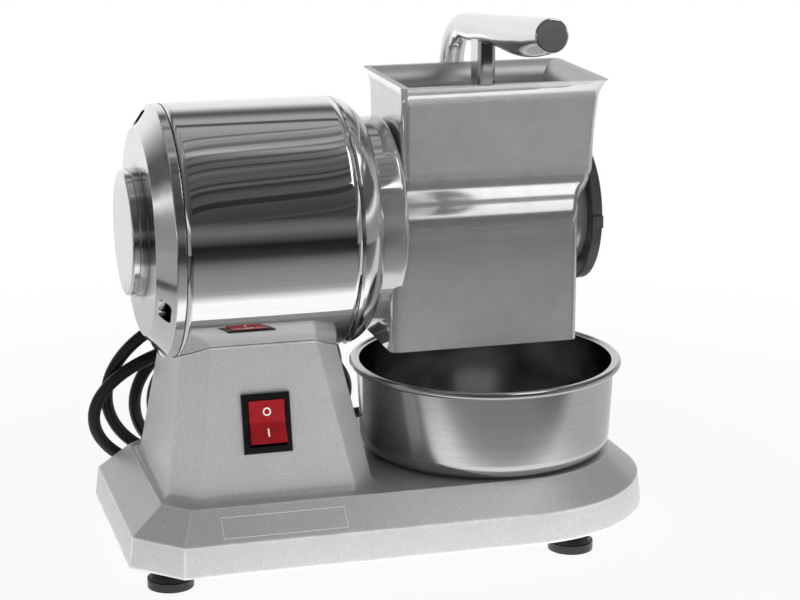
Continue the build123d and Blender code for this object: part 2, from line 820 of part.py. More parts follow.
with BuildPart() as cooling_fan:
    with BuildSketch(axial_plane(fan_x)):
        Circle(fan_hub_radius)
    extrude(amount=fan_hub_length)
    with BuildSketch(axial_plane(fan_x)):
        with PolarLocations((fan_hub_radius + fan_radius) / 2 - 1, fan_blade_count):
            Rectangle(fan_radius - fan_hub_radius + 2, fan_blade_thickness)
    extrude(amount=fan_hub_length)
    with BuildSketch(axial_plane(fan_x)):
        Circle(shaft_radius + seat_gap)
    extrude(amount=fan_hub_length, mode=Mode.SUBTRACT)
cooling_fan.part.label = "cooling_fan"
export_step(cooling_fan.part, "parts/cooling_fan.step")

# Drum: tube with crossing grooves that leave rows of pointed teeth, hubs at both ends and a journal
drum_mid = (drum_toothed_left + drum_toothed_right) / 2
drum_pitch = (drum_toothed_right - drum_toothed_left) / drum_ring_count
with BuildPart() as grating_drum:
    with BuildSketch(axial_plane(drum_left)):
        Circle(drum_radius)
    extrude(amount=drum_right - drum_left)
    with BuildSketch(axial_plane(drum_toothed_left)):
        with PolarLocations(drum_radius, drum_tooth_count):
            RegularPolygon(drum_groove_depth, 4, rotation=0)
    extrude(amount=drum_toothed_right - drum_toothed_left, mode=Mode.SUBTRACT)
    with BuildSketch(axial_profile):
        with Locations((drum_mid, drum_radius)):
            with GridLocations(drum_pitch, 1, drum_ring_count + 1, 1):
                RegularPolygon(drum_groove_depth, 4, rotation=0)
    revolve(axis=motor_axis, mode=Mode.SUBTRACT)
    with BuildSketch(axial_plane(drive_end + drum_wall)):
        Circle(drum_radius - drum_groove_depth - drum_wall)
    extrude(amount=drum_right - drive_end - 2 * drum_wall, mode=Mode.SUBTRACT)
    with BuildSketch(axial_plane(drum_left)):
        RegularPolygon(drive_flat / 2 + screw_gap, 6, major_radius=False)
    extrude(amount=drive_end + screw_gap - drum_left, mode=Mode.SUBTRACT)
    with BuildSketch(axial_plane(drum_right)):
        Circle(journal_radius)
    extrude(amount=collar_end - drum_right - moving_gap)
    with BuildSketch(Plane.XY.offset(axis_z)):
        with Locations((drive_pin_x, 0)):
            Circle(drive_pin_radius + screw_gap)
    extrude(amount=2 * drum_radius, both=True, mode=Mode.SUBTRACT)
grating_drum.part.label = "grating_drum"
export_step(grating_drum.part, "parts/grating_drum.step")

with BuildPart() as drive_pin:
    with BuildSketch(Plane.XY.offset(axis_z)):
        with Locations((drive_pin_x, 0)):
            Circle(drive_pin_radius)
    extrude(amount=drum_radius - drum_groove_depth - drive_pin_sink, both=True)
drive_pin.part.label = "drive_pin"
export_step(drive_pin.part, "parts/drive_pin.step")


# Hollow of the hopper, the drum housing and the chute
chute_inner = chute_half_depth - body_wall
hopper_inner = hopper_half_depth - body_wall
flare_inner = hopper_inner + hopper_lean
rim_inner = rim_half_depth - rim_thickness
housing_inner = drum_radius + drum_gap
hollow_left = hopper_left + body_wall
hollow_right = ring_left - ring_pocket_gap - body_wall
hollow_shoulder = (chute_right - body_wall + hollow_right) / 2
shoulder_mid = (shoulder_low + shoulder_high) / 2
shoulder_left = (chute_left + hopper_left) / 2
shoulder_right = (chute_right + hopper_right) / 2
shoulder_half_depth = (chute_half_depth + hopper_half_depth) / 2
with BuildPart() as duct_hollow:
    with BuildSketch(Plane.XZ):
        with BuildLine():
            Polyline(
                (hollow_left, flare_low),
                (hollow_left, chute_open_z),
                (chute_left + body_wall, chute_open_z + chute_left - hopper_left),
                (chute_left + body_wall, chute_bottom),
                (chute_right - body_wall, chute_bottom),
                (chute_right - body_wall, shoulder_low),
            )
            TangentArc(
                (chute_right - body_wall, shoulder_low),
                (hollow_shoulder, shoulder_mid),
                tangent=(0, 1),
            )
            TangentArc((hollow_right, shoulder_high), (hollow_shoulder, shoulder_mid), tangent=(0, -1))
            Line((hollow_right, shoulder_high), (hollow_right, flare_low))
            TangentArc((hollow_right, flare_low), (rim_right - rim_thickness, rim_z), tangent=(0, 1))
            Line((rim_right - rim_thickness, rim_z), (rim_left + rim_thickness, rim_z))
            TangentArc((hollow_left, flare_low), (rim_left + rim_thickness, rim_z), tangent=(0, 1))
        make_face()
    extrude(amount=base_width, both=True)
    with BuildSketch(Plane.YZ):
        with BuildLine():
            TangentArc((flare_inner, flare_low), (rim_inner, rim_z), tangent=(0, 1))
            Line((rim_inner, rim_z), (-rim_inner, rim_z))
            TangentArc((-flare_inner, flare_low), (-rim_inner, rim_z), tangent=(0, 1))
            Polyline(
                (-flare_inner, flare_low),
                (-hopper_inner, shoulder_high),
                (-throat_half_depth, throat_z),
                (-housing_inner, axis_z),
                (-housing_inner, chute_neck_z),
                (-chute_inner, chute_open_z),
                (-chute_inner, chute_bottom),
                (chute_inner, chute_bottom),
                (chute_inner, chute_open_z),
                (housing_inner, chute_neck_z),
                (housing_inner, axis_z),
                (throat_half_depth, throat_z),
                (hopper_inner, shoulder_high),
                (flare_inner, flare_low),
            )
        make_face()
    extrude(amount=base_length, both=True, mode=Mode.INTERSECT)

# Grater body: duct, flange, collar and hinge ears in one casting
ear_inner = eye_width / 2 + 2 * moving_gap
ring_pocket_radius = ring_radius + lug_rise + ring_pocket_gap
flare_right = hopper_right + hopper_lean
flare_half_depth = hopper_half_depth + hopper_lean
lean_angle = 2 * math.atan(hopper_lean / (flare_low - shoulder_high))
lean_right = (math.sin(lean_angle), math.cos(lean_angle))
lean_left = (-math.sin(lean_angle), math.cos(lean_angle))
with BuildPart() as grater_body:
    with BuildSketch(Plane.XZ):
        with BuildLine():
            Polyline(
                (chute_left, shoulder_low),
                (chute_left, chute_bottom),
                (chute_right, chute_bottom),
                (chute_right, shoulder_low),
            )
            TangentArc((chute_right, shoulder_low), (shoulder_right, shoulder_mid), tangent=(0, 1))
            TangentArc((hopper_right, shoulder_high), (shoulder_right, shoulder_mid), tangent=(0, -1))
            TangentArc((hopper_right, shoulder_high), (flare_right, flare_low), tangent=(0, 1))
            TangentArc((flare_right, flare_low), (rim_right, rim_z), tangent=lean_right)
            Line((rim_right, rim_z), (rim_left, rim_z))
            TangentArc((hopper_left, flare_low), (rim_left, rim_z), tangent=(0, 1))
            Line((hopper_left, flare_low), (hopper_left, shoulder_high))
            TangentArc((hopper_left, shoulder_high), (shoulder_left, shoulder_mid), tangent=(0, -1))
            TangentArc((chute_left, shoulder_low), (shoulder_left, shoulder_mid), tangent=(0, 1))
        make_face()
    extrude(amount=base_width, both=True)
    with BuildSketch(Plane.YZ):
        with BuildLine():
            Polyline(
                (-chute_half_depth, shoulder_low),
                (-chute_half_depth, chute_bottom),
                (chute_half_depth, chute_bottom),
                (chute_half_depth, shoulder_low),
            )
            TangentArc((chute_half_depth, shoulder_low), (shoulder_half_depth, shoulder_mid), tangent=(0, 1))
            TangentArc((hopper_half_depth, shoulder_high), (shoulder_half_depth, shoulder_mid), tangent=(0, -1))
            TangentArc((hopper_half_depth, shoulder_high), (flare_half_depth, flare_low), tangent=(0, 1))
            TangentArc((flare_half_depth, flare_low), (rim_half_depth, rim_z), tangent=lean_right)
            Line((rim_half_depth, rim_z), (-rim_half_depth, rim_z))
            TangentArc((-flare_half_depth, flare_low), (-rim_half_depth, rim_z), tangent=lean_left)
            TangentArc((-hopper_half_depth, shoulder_high), (-flare_half_depth, flare_low), tangent=(0, 1))
            TangentArc(
                (-hopper_half_depth, shoulder_high),
                (-shoulder_half_depth, shoulder_mid),
                tangent=(0, -1),
            )
            TangentArc((-chute_half_depth, shoulder_low), (-shoulder_half_depth, shoulder_mid), tangent=(0, 1))
        make_face()
    extrude(amount=base_length, both=True, mode=Mode.INTERSECT)
    corner_edges = grater_body.edges().filter_by(Axis.Z)
    fillet(corner_edges, radius=body_edge_round)
    with BuildSketch(axial_profile):
        with BuildLine():
            Polyline(
                (flange_right, flange_radius - flange_edge_round),
                (flange_right, 0),
                (bell_end_x, 0),
                (bell_end_x, flange_radius),
                (flange_right - flange_edge_round, flange_radius),
            )
            TangentArc(
                (flange_right - flange_edge_round, flange_radius),
                (flange_right, flange_radius - flange_edge_round),
                tangent=(1, 0),
            )
        make_face()
    revolve(axis=motor_axis)
    with BuildSketch(axial_plane(chute_right - body_wall)):
        Circle(collar_radius)
    extrude(amount=collar_end - chute_right + body_wall)
    with BuildSketch(axial_plane(ring_left - ring_pocket_gap)):
        Circle(ring_pocket_radius)
        Circle(collar_radius, mode=Mode.SUBTRACT)
    extrude(amount=rim_right - ring_left, mode=Mode.SUBTRACT)
    with BuildSketch(axial_plane(collar_end)):
        Circle(ring_pocket_radius)
    extrude(amount=rim_right - collar_end, mode=Mode.SUBTRACT)
    for ear_x in (lever_x - ear_inner - ear_thickness, lever_x + ear_inner):
        with BuildSketch(Plane.YZ.offset(ear_x)):
            with Locations((hinge_y, hinge_z)):
                Circle(ear_radius)
            with BuildLine():
                Polyline(
                    (hinge_y, hinge_z + ear_radius),
                    (hopper_half_depth - body_wall / 2, hinge_z + ear_radius / 2),
                    (hopper_half_depth - body_wall / 2, hinge_z - 3 * ear_radius),
                    (hinge_y + ear_radius * 0.6, hinge_z - ear_radius * 0.8),
                    close=True,
                )
            make_face()
        extrude(amount=ear_thickness)
    add(duct_hollow.part, mode=Mode.SUBTRACT)
    with BuildSketch(axial_plane(chute_right / 2)):
        Circle(housing_inner)
    extrude(amount=collar_end - chute_right / 2, mode=Mode.SUBTRACT)
    with BuildSketch(axial_plane(bell_end_x)):
        Circle(shaft_radius + 2 * moving_gap)
    extrude(amount=drum_left - bell_end_x, mode=Mode.SUBTRACT)
    with BuildSketch(axial_plane(bell_end_x)):
        Circle(seal_radius + seat_gap)
    extrude(amount=seal_width, mode=Mode.SUBTRACT)
    with BuildSketch(axial_plane(bell_end_x)):
        with PolarLocations(flange_bolt_circle, 4, start_angle=45):
            Circle(flange_bolt_radius + screw_gap)
    extrude(amount=flange_bolt_length - bell_web + screw_gap, mode=Mode.SUBTRACT)
    with BuildSketch(Plane.YZ.offset(lever_x)):
        with Locations((hinge_y, hinge_z)):
            Circle(hinge_pin_radius + seat_gap)
    extrude(amount=ear_inner + 2 * ear_thickness, both=True, mode=Mode.SUBTRACT)
grater_body.part.label = "grater_body"
export_step(grater_body.part, "parts/grater_body.step")

with BuildPart() as shaft_seal:
    with BuildSketch(axial_plane(bell_end_x)):
        Circle(seal_radius)
        Circle(shaft_radius + running_gap, mode=Mode.SUBTRACT)
    extrude(amount=seal_width)
shaft_seal.part.label = "shaft_seal"
export_step(shaft_seal.part, "parts/shaft_seal.step")

# End cover with its bush, held by the ring on the collar
cover_left = collar_end + moving_gap
register_left = cover_left - cover_register
with BuildPart() as end_cover:
    with BuildSketch(axial_plane(cover_left)):
        Circle(collar_radius - moving_gap)
    extrude(amount=cover_plate)
    with BuildSketch(axial_plane(cover_left)):
        Circle(housing_inner - moving_gap)
    extrude(amount=cover_step - cover_register)
    with BuildSketch(axial_plane(register_left)):
        Circle(journal_radius + bush_wall + seat_gap)
    extrude(amount=cover_register, mode=Mode.SUBTRACT)
end_cover.part.label = "end_cover"
export_step(end_cover.part, "parts/end_cover.step")

with BuildPart() as end_bush:
    with BuildSketch(axial_plane(register_left + cover_step)):
        Circle(journal_radius + bush_wall)
        Circle(journal_radius + running_gap, mode=Mode.SUBTRACT)
    extrude(amount=cover_register - cover_step)
end_bush.part.label = "end_bush"
export_step(end_bush.part, "parts/end_bush.step")

with BuildPart() as cover_ring:
    with BuildSketch(axial_plane(ring_left)):
        Circle(ring_radius)
    extrude(amount=ring_right - ring_left)
    fillet(cover_ring.edges().filter_by(GeomType.CIRCLE), radius=ring_edge_round)
    with BuildSketch(axial_plane(ring_left)):
        with PolarLocations(ring_radius + lug_rise - lug_root / 2, 4, start_angle=lug_angle):
            Rectangle(lug_root, lug_width)
    extrude(amount=lug_length)
    with BuildSketch(axial_plane(ring_left)):
        Circle(collar_radius + moving_gap)
    extrude(amount=cover_left + cover_plate + moving_gap - ring_left, mode=Mode.SUBTRACT)
    with BuildSketch(axial_plane(ring_left)):
        Circle(ring_lip_radius)
    extrude(amount=ring_right - ring_left, mode=Mode.SUBTRACT)
cover_ring.part.label = "cover_ring"
export_step(cover_ring.part, "parts/cover_ring.step")

# Pusher lever: round grip that swells towards the hand, elbow, leg with hinge eye, post
slope = math.radians(lever_slope)
lever_along = (0, -math.cos(slope), math.sin(slope))
lever_up = (0, math.sin(slope), math.cos(slope))


def lever_centre(station, radius):
    y = lever_top_y + lever_along[1] * station - lever_up[1] * radius
    z = lever_top_z + lever_along[2] * station - lever_up[2] * radius
    return (lever_x, y, z)


grip_reach = -lever_centre(lever_stations[-1], 2 * lever_radii[-1] - grip_end_round)[1]
elbow_start = lever_centre(0, lever_leg_radius)
elbow_end_y = elbow_start[1] + lever_elbow_radius * (1 - math.sin(slope))
elbow_end_z = elbow_start[2] - lever_elbow_radius * math.cos(slope)
with BuildPart() as pusher_lever:
    for station, radius in zip(lever_stations, lever_radii):
        with BuildSketch(Plane(lever_centre(station, radius), x_dir=(1, 0, 0), z_dir=lever_along)):
            Circle(radius)
    loft()
    fillet(pusher_lever.edges().sort_by(Axis.Y)[0], radius=grip_end_round)
    with BuildLine() as elbow_path:
        TangentArc(
            elbow_start,
            (lever_x, elbow_end_y, elbow_end_z),
            tangent=(0, math.cos(slope), -math.sin(slope)),
        )
        Line((lever_x, elbow_end_y, elbow_end_z), (lever_x, elbow_end_y, hinge_z))
    with BuildSketch(Plane(elbow_start, x_dir=(1, 0, 0), z_dir=lever_along)):
        Circle(lever_leg_radius)
    sweep(path=elbow_path.line)
    with BuildSketch(Plane.YZ.offset(lever_x)):
        with Locations((hinge_y, hinge_z)):
            Circle(eye_radius)
    extrude(amount=eye_width / 2, both=True)
    with BuildSketch(Plane.XY.offset(pusher_top)):
        with Locations((lever_x, 0)):
            RectangleRounded(post_width, post_depth, post_round)
    extrude(amount=lever_centre(lever_top_y, lever_radii[1])[2] - pusher_top)
    with BuildSketch(Plane.YZ.offset(lever_x)):
        with Locations((hinge_y, hinge_z)):
            Circle(hinge_pin_radius + running_gap)
    extrude(amount=eye_width, both=True, mode=Mode.SUBTRACT)
    with BuildSketch(Plane.XY.offset(pusher_top)):
        with Locations((lever_x, 0)):
            Circle(pusher_screw_radius + screw_gap)
    extrude(amount=pusher_screw_grip + screw_gap, mode=Mode.SUBTRACT)
pusher_lever.part.label = "pusher_lever"
export_step(pusher_lever.part, "parts/pusher_lever.step")

with BuildPart() as hinge_pin:
    with BuildSketch(Plane.YZ.offset(lever_x)):
        with Locations((hinge_y, hinge_z)):
            Circle(hinge_pin_radius)
    extrude(amount=ear_inner + ear_thickness, both=True)
hinge_pin.part.label = "hinge_pin"
export_step(hinge_pin.part, "parts/hinge_pin.step")

with BuildPart() as pusher_plate:
    with BuildSketch(Plane.XY.offset(pusher_bottom)):
        with Locations(((plate_left + plate_right) / 2, (plate_front + plate_rear) / 2)):
            RectangleRounded(plate_right - plate_left, plate_rear - plate_front, pusher_corner)
    extrude(amount=pusher_top - pusher_bottom)
    with BuildSketch(Plane.XY.offset(pusher_bottom)):
        with Locations((lever_x, 0)):
            Circle(pusher_screw_radius + screw_gap)
    extrude(amount=pusher_top - pusher_bottom, mode=Mode.SUBTRACT)
    with BuildSketch(Plane.XY.offset(pusher_bottom)):
        with Locations((lever_x, 0)):
            Circle(2 * pusher_screw_radius + screw_gap)
    extrude(amount=pusher_screw_radius + pusher_screw_sink, mode=Mode.SUBTRACT)
pusher_plate.part.label = "pusher_plate"
export_step(pusher_plate.part, "parts/pusher_plate.step")

with BuildPart() as pusher_screw:
    with BuildSketch(Plane.XY.offset(pusher_bottom + pusher_screw_sink)):
        with Locations((lever_x, 0)):
            Circle(2 * pusher_screw_radius)
    extrude(amount=pusher_screw_radius)
    with BuildSketch(Plane.XY.offset(pusher_bottom + pusher_screw_sink)):
        with Locations((lever_x, 0)):
            Circle(pusher_screw_radius)
    extrude(amount=pusher_top - pusher_bottom + pusher_screw_grip - pusher_screw_sink)
pusher_screw.part.label = "pusher_screw"
export_step(pusher_screw.part, "parts/pusher_screw.step")

# Catch bowl: thin sheet with a rolled rim
bowl_floor = deck_z + moving_gap
bowl_axis = Axis((bowl_x, 0, 0), (0, 0, 1))
rim_centre_r = bowl_rim_radius - bowl_roll
rim_centre_z = bowl_rim_z - bowl_roll
with BuildPart() as catch_bowl:
    with BuildSketch(Plane(origin=(bowl_x, 0, 0), x_dir=(1, 0, 0), z_dir=(0, -1, 0))):
        with BuildLine():
            Polyline(
                (0, bowl_floor),
                (bowl_bottom_radius - bowl_corner, bowl_floor),
            )
            TangentArc(
                (bowl_bottom_radius - bowl_corner, bowl_floor),
                (bowl_bottom_radius, bowl_floor + bowl_corner),
                tangent=(1, 0),
            )
            Polyline(
                (bowl_bottom_radius, bowl_floor + bowl_corner),
                (bowl_top_radius, rim_centre_z - bowl_roll / 2),
                (rim_centre_r, rim_centre_z - bowl_roll / 2),
                (rim_centre_r, rim_centre_z + bowl_roll / 2),
                (bowl_top_radius - bowl_wall, rim_centre_z + bowl_roll / 2),
                (bowl_bottom_radius - bowl_wall, bowl_floor + bowl_corner),
            )
            TangentArc(
                (bowl_bottom_radius - bowl_corner, bowl_floor + bowl_wall),
                (bowl_bottom_radius - bowl_wall, bowl_floor + bowl_corner),
                tangent=(1, 0),
            )
            Polyline(
                (bowl_bottom_radius - bowl_corner, bowl_floor + bowl_wall),
                (0, bowl_floor + bowl_wall),
                (0, bowl_floor),
            )
        make_face()
        with Locations((rim_centre_r, rim_centre_z)):
            Circle(bowl_roll)
    revolve(axis=bowl_axis)
catch_bowl.part.label = "catch_bowl"
export_step(catch_bowl.part, "parts/catch_bowl.step")

# Cord gland on the back of the skirt
gland_axis = Axis((gland_x, 0, gland_z), (0, 1, 0))
# It reaches as far to the back as the grip to the front, so the origin is in the middle of the box
gland_tip_y = grip_reach
with BuildPart() as cord_gland:
    with BuildSketch(Plane(origin=(gland_x, 0, gland_z), x_dir=(0, 1, 0), z_dir=(1, 0, 0))):
        with BuildLine():
            Polyline(
                (gland_boss_y - 1.5 * casting_wall, 0),
                (gland_boss_y - 1.5 * casting_wall, gland_neck_radius),
                (gland_boss_y, gland_neck_radius),
                (gland_boss_y, gland_flange_radius),
                (gland_boss_y + gland_flange, gland_flange_radius),
                (gland_boss_y + gland_flange, gland_root_radius),
                (gland_tip_y, gland_tip_radius),
                (gland_tip_y, 0),
                close=True,
            )
        make_face()
    revolve(axis=gland_axis)
cord_gland.part.label = "cord_gland"
export_step(cord_gland.part, "parts/cord_gland.step")


# Cord coil: loose loops that lean on the base, one unbroken tube on pairs of tangent arcs
def coil_point(x, z, turns):
    return Vector(x, coil_foot_y - coil_lean * z + coil_step * turns, z)


coil_marks = []
coil_tangents = []
for count, (mid_x, mid_z, half_x, half_z) in enumerate(coil_loops):
    coil_marks.append(coil_point(mid_x, mid_z - half_z, count))
    coil_tangents.append(Vector(-1, coil_step / 360, 0).normalized())
    coil_marks.append(coil_point(mid_x - half_x, mid_z, count + 0.25))
    coil_tangents.append(Vector(0, -coil_lean + coil_step / 360, 1).normalized())
    coil_marks.append(coil_point(mid_x, mid_z + half_z, count + 0.5))
    coil_tangents.append(Vector(1, coil_step / 360, 0).normalized())
    coil_marks.append(coil_point(mid_x + half_x, mid_z, count + 0.75))
    coil_tangents.append(Vector(0, coil_lean + coil_step / 360, -1).normalized())
coil_tangents[0] = Vector(-1, 0, 0)
coil_start = coil_marks[0] - coil_tangents[0] * (2 * cord_radius)
coil_end = coil_marks[-1] + coil_tangents[-1] * (2 * cord_radius)
coil_edges = [Edge.make_line(coil_start, coil_marks[0])]
for index in range(len(coil_marks) - 1):
    p0 = coil_marks[index]
    p1 = coil_marks[index + 1]
    t0 = coil_tangents[index]
    t1 = coil_tangents[index + 1]
    chord = p1 - p0
    both = t0 + t1
    spread = 2 * (1 - t0.dot(t1))
    reach = (math.sqrt(chord.dot(both) ** 2 + spread * chord.dot(chord)) - chord.dot(both)) / spread
    middle = (p0 + t0 * reach + p1 - t1 * reach) * 0.5
    middle_tangent = (p1 - t1 * reach - p0 - t0 * reach).normalized()
    coil_edges.append(Edge.make_tangent_arc(p0, t0, middle))
    coil_edges.append(Edge.make_tangent_arc(middle, middle_tangent, p1))
coil_edges.append(Edge.make_line(coil_marks[-1], coil_end))
coil_path = Wire(coil_edges)
with BuildPart() as cord_coil:
    with BuildSketch(Plane(coil_start, z_dir=coil_tangents[0])):
        Circle(cord_radius)
    sweep(path=coil_path)
cord_coil.part.label = "cord_coil"
export_step(cord_coil.part, "parts/cord_coil.step")

sample_count = 900
samples = [coil_path.position_at(i / sample_count) for i in range(sample_count + 1)]
skip = int(8 * cord_radius / coil_path.length * sample_count) + 1
least = coil_path.length
for i in range(sample_count + 1):
    for j in range(i + skip, sample_count + 1):
        least = min(least, (samples[i] - samples[j]).length)
print("coil length", round(coil_path.length, 1), "least gap to itself", round(least - 2 * cord_radius, 2))
coil_section = math.pi * cord_radius**2
print("coil volume", round(cord_coil.part.volume), "section by length", round(coil_section * coil_path.length))
print("coil arc radii", [round(edge.radius, 1) for edge in coil_edges[1:-1]])


def route_radii(points):
    # Fillet radius at each inner point of a cord route, from its shorter run and its turn
    radii = []
    for before, here, after in zip(points, points[1:], points[2:]):
        run_in = Vector(*here) - Vector(*before)
        run_out = Vector(*after) - Vector(*here)
        half_turn = math.radians(run_in.get_angle(run_out)) / 2
        radii.append(0.45 * min(run_in.length, run_out.length) / math.tan(half_turn))
    return radii


# Lead from the gland to the coil
lead_end = (coil_start.X, coil_start.Y, coil_start.Z)
lead_points = [
    (gland_x, gland_tip_y, gland_z),
    (gland_x, gland_tip_y + 28.2, gland_z),
    (gland_x - 19.3, gland_tip_y + 49.0, 15.0),
    (gland_x - 47.5, gland_tip_y + 51.0, 9.5),
    (gland_x - 69.6, gland_tip_y + 33.3, 6.0),
    (gland_x - 73.5, gland_tip_y + 6.0, 5.2),
    (lead_end[0] + 25.7, lead_end[1], lead_end[2]),
    lead_end,
]
lead_radii = route_radii(lead_points)
with BuildPart() as cord_lead:
    with BuildLine() as lead_path:
        FilletPolyline(*lead_points, radius=lead_radii)
    with BuildSketch(Plane(lead_points[0], z_dir=lead_path.line % 0)):
        Circle(cord_radius)
    sweep(path=lead_path.wire())
cord_lead.part.label = "cord_lead"
export_step(cord_lead.part, "parts/cord_lead.step")
print("lead radii", [round(r, 1) for r in lead_radii], "length", round(lead_path.wire().length, 1))
print("lead volume", round(cord_lead.part.volume), round(math.pi * cord_radius**2 * lead_path.wire().length))

# Tail from the coil to the plug
tail_start = (coil_end.X, coil_end.Y, coil_end.Z)
tail_drop = coil_end + coil_tangents[-1] * 19.3
tail_points = [
    tail_start,
    (tail_drop.X, tail_drop.Y, tail_drop.Z),
    (tail_drop.X + 9.7, tail_drop.Y + 8.1, tail_drop.Z - 14.6),
    (tail_drop.X + 26.4, tail_drop.Y + 12.8, 4.0),
    (plug_start[0] - 62.5, tail_drop.Y + 12.8, 4.0),
    (plug_start[0] - 22.5, plug_start[1], plug_start[2]),
    plug_start,
]
tail_radii = route_radii(tail_points)
with BuildPart() as cord_tail:
    with BuildLine() as tail_path:
        FilletPolyline(*tail_points, radius=tail_radii)
    with BuildSketch(Plane(tail_points[0], z_dir=tail_path.line % 0)):
        Circle(cord_radius)
    sweep(path=tail_path.wire())
cord_tail.part.label = "cord_tail"
export_step(cord_tail.part, "parts/cord_tail.step")
print("tail radii", [round(r, 1) for r in tail_radii], "length", round(tail_path.wire().length, 1))
print("tail volume", round(cord_tail.part.volume), round(math.pi * cord_radius**2 * tail_path.wire().length))

# Plug with two round pins, lying behind the base
plug_axis = Axis(plug_start, (1, 0, 0))
with BuildPart() as plug_body:
    with BuildSketch(Plane(plug_start, x_dir=(1, 0, 0), z_dir=(0, -1, 0))):
        with BuildLine():
            Polyline(
                (0, 0),
                (0, plug_tail_radius),
                (plug_tail_length, plug_neck_radius),
                (plug_tail_length + 6.0, plug_face_radius),
                (plug_tail_length + plug_body_length, plug_face_radius),
                (plug_tail_length + plug_body_length, 0),
                close=True,
            )
        make_face()
    revolve(axis=plug_axis)
plug_body.part.label = "plug_body"
export_step(plug_body.part, "parts/plug_body.step")

plug_face_x = plug_start[0] + plug_tail_length + plug_body_length
with BuildPart() as plug_pins:
    with BuildSketch(Plane((plug_face_x, plug_start[1], plug_start[2]), x_dir=(0, 1, 0), z_dir=(1, 0, 0))):
        with GridLocations(pin_spacing, 1, 2, 1):
            Circle(pin_radius)
    extrude(amount=pin_length)
plug_pins.part.label = "plug_pins"
export_step(plug_pins.part, "parts/plug_pins.step")
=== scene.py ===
import math

import bmesh
import bpy
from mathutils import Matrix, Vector
from mathutils.bvhtree import BVHTree


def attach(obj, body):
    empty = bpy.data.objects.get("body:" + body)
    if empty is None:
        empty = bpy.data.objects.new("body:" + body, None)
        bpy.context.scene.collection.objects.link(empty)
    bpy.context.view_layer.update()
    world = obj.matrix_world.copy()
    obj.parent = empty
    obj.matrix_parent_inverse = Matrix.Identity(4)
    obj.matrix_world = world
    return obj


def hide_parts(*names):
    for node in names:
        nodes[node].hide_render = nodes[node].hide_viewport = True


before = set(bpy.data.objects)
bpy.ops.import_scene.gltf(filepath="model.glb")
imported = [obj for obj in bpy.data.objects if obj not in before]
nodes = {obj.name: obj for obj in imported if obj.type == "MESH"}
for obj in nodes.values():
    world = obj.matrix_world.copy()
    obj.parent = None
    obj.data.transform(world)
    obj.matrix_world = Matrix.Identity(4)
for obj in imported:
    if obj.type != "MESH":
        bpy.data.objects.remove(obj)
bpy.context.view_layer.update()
scene = bpy.context.scene
scene.view_settings.view_transform = "Standard"


def mm(x, y, z):
    return Vector((x, y, z)) * 0.001


# Camera

CAMERA_PLACE = mm(-310.6, -1147.3, 434.5)
CAMERA_TARGET = mm(12.13, 0, 126.46)

camera_data = bpy.data.cameras.new("camera")
camera_data.lens = 102.5
camera_data.sensor_width = 36.0
camera_data.clip_start = 0.01
camera_data.clip_end = 50.0
camera = bpy.data.objects.new("camera", camera_data)
scene.collection.objects.link(camera)
camera.location = CAMERA_PLACE
camera.rotation_mode = "QUATERNION"
camera.rotation_quaternion = (CAMERA_TARGET - CAMERA_PLACE).to_track_quat("-Z", "Y")
scene.camera = camera


# Small tools for meshes

MERGE_DISTANCE = 1e-7
# Height of the motor's axis, in mm
AXIS_Z = 172.7


def new_piece(name, mesh, body, material, smooth=True):
    piece = bpy.data.objects.new(name, mesh)
    scene.collection.objects.link(piece)
    mesh.materials.clear()
    mesh.materials.append(material)
    mesh.polygons.foreach_set("use_smooth", [smooth] * len(mesh.polygons))
    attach(piece, body)
    return piece


def mesh_from(bm, name):
    bmesh.ops.remove_doubles(bm, verts=bm.verts[:], dist=MERGE_DISTANCE)
    bmesh.ops.recalc_face_normals(bm, faces=bm.faces[:])
    mesh = bpy.data.meshes.new(name)
    bm.to_mesh(mesh)
    bm.free()
    return mesh


def band_faces(bm, a, b):
    # Four-sided faces between two closed rows of the same count
    count = len(a)
    for k in range(count):
        n = (k + 1) % count
        bm.faces.new((a[k], a[n], b[n], b[k]))


def about_motor(along, radius, angle):
    return mm(along, -radius * math.cos(angle), AXIS_Z + radius * math.sin(angle))


def turned(name, profile, count=224):
    """Closed ring turned round the motor's axis. The profile is (along, radius) in mm."""
    bm = bmesh.new()
    turns = [2 * math.pi * k / count for k in range(count)]
    rings = [[bm.verts.new(about_motor(along, radius, t)) for t in turns] for along, radius in profile]
    for a, b in zip(rings, rings[1:] + rings[:1]):
        band_faces(bm, a, b)
    return mesh_from(bm, name)


# Node tools

def add_node(tree, kind, **values):
    made = tree.nodes.new(kind)
    for key, value in values.items():
        setattr(made, key, value)
    return made


def set_input(node, key, value):
    node.inputs[key].default_value = value


def math_node(tree, operation, a, b=None):
    made = add_node(tree, "ShaderNodeMath", operation=operation)
    for socket, value in zip(made.inputs, (a, b)):
        if value is None:
            continue
        if isinstance(value, (int, float)):
            socket.default_value = value
        else:
            tree.links.new(value, socket)
    return made.outputs[0]


def ramp_node(tree, source, stops):
    ramp = add_node(tree, "ShaderNodeValToRGB")
    while len(ramp.color_ramp.elements) < len(stops):
        ramp.color_ramp.elements.new(0.5)
    for element, (position, value) in zip(ramp.color_ramp.elements, stops):
        element.position = position
        element.color = (value, value, value, 1) if isinstance(value, (int, float)) else (*value, 1)
    tree.links.new(source, ramp.inputs["Fac"])
    return ramp.outputs["Color"]


def shifted_ramp(tree, source, shift, stops):
    # Ramps run from 0 to 1, so a coordinate that starts below 0 is moved up with its stops
    moved = math_node(tree, "ADD", source, shift)
    return ramp_node(tree, moved, [(position + shift, value) for position, value in stops])


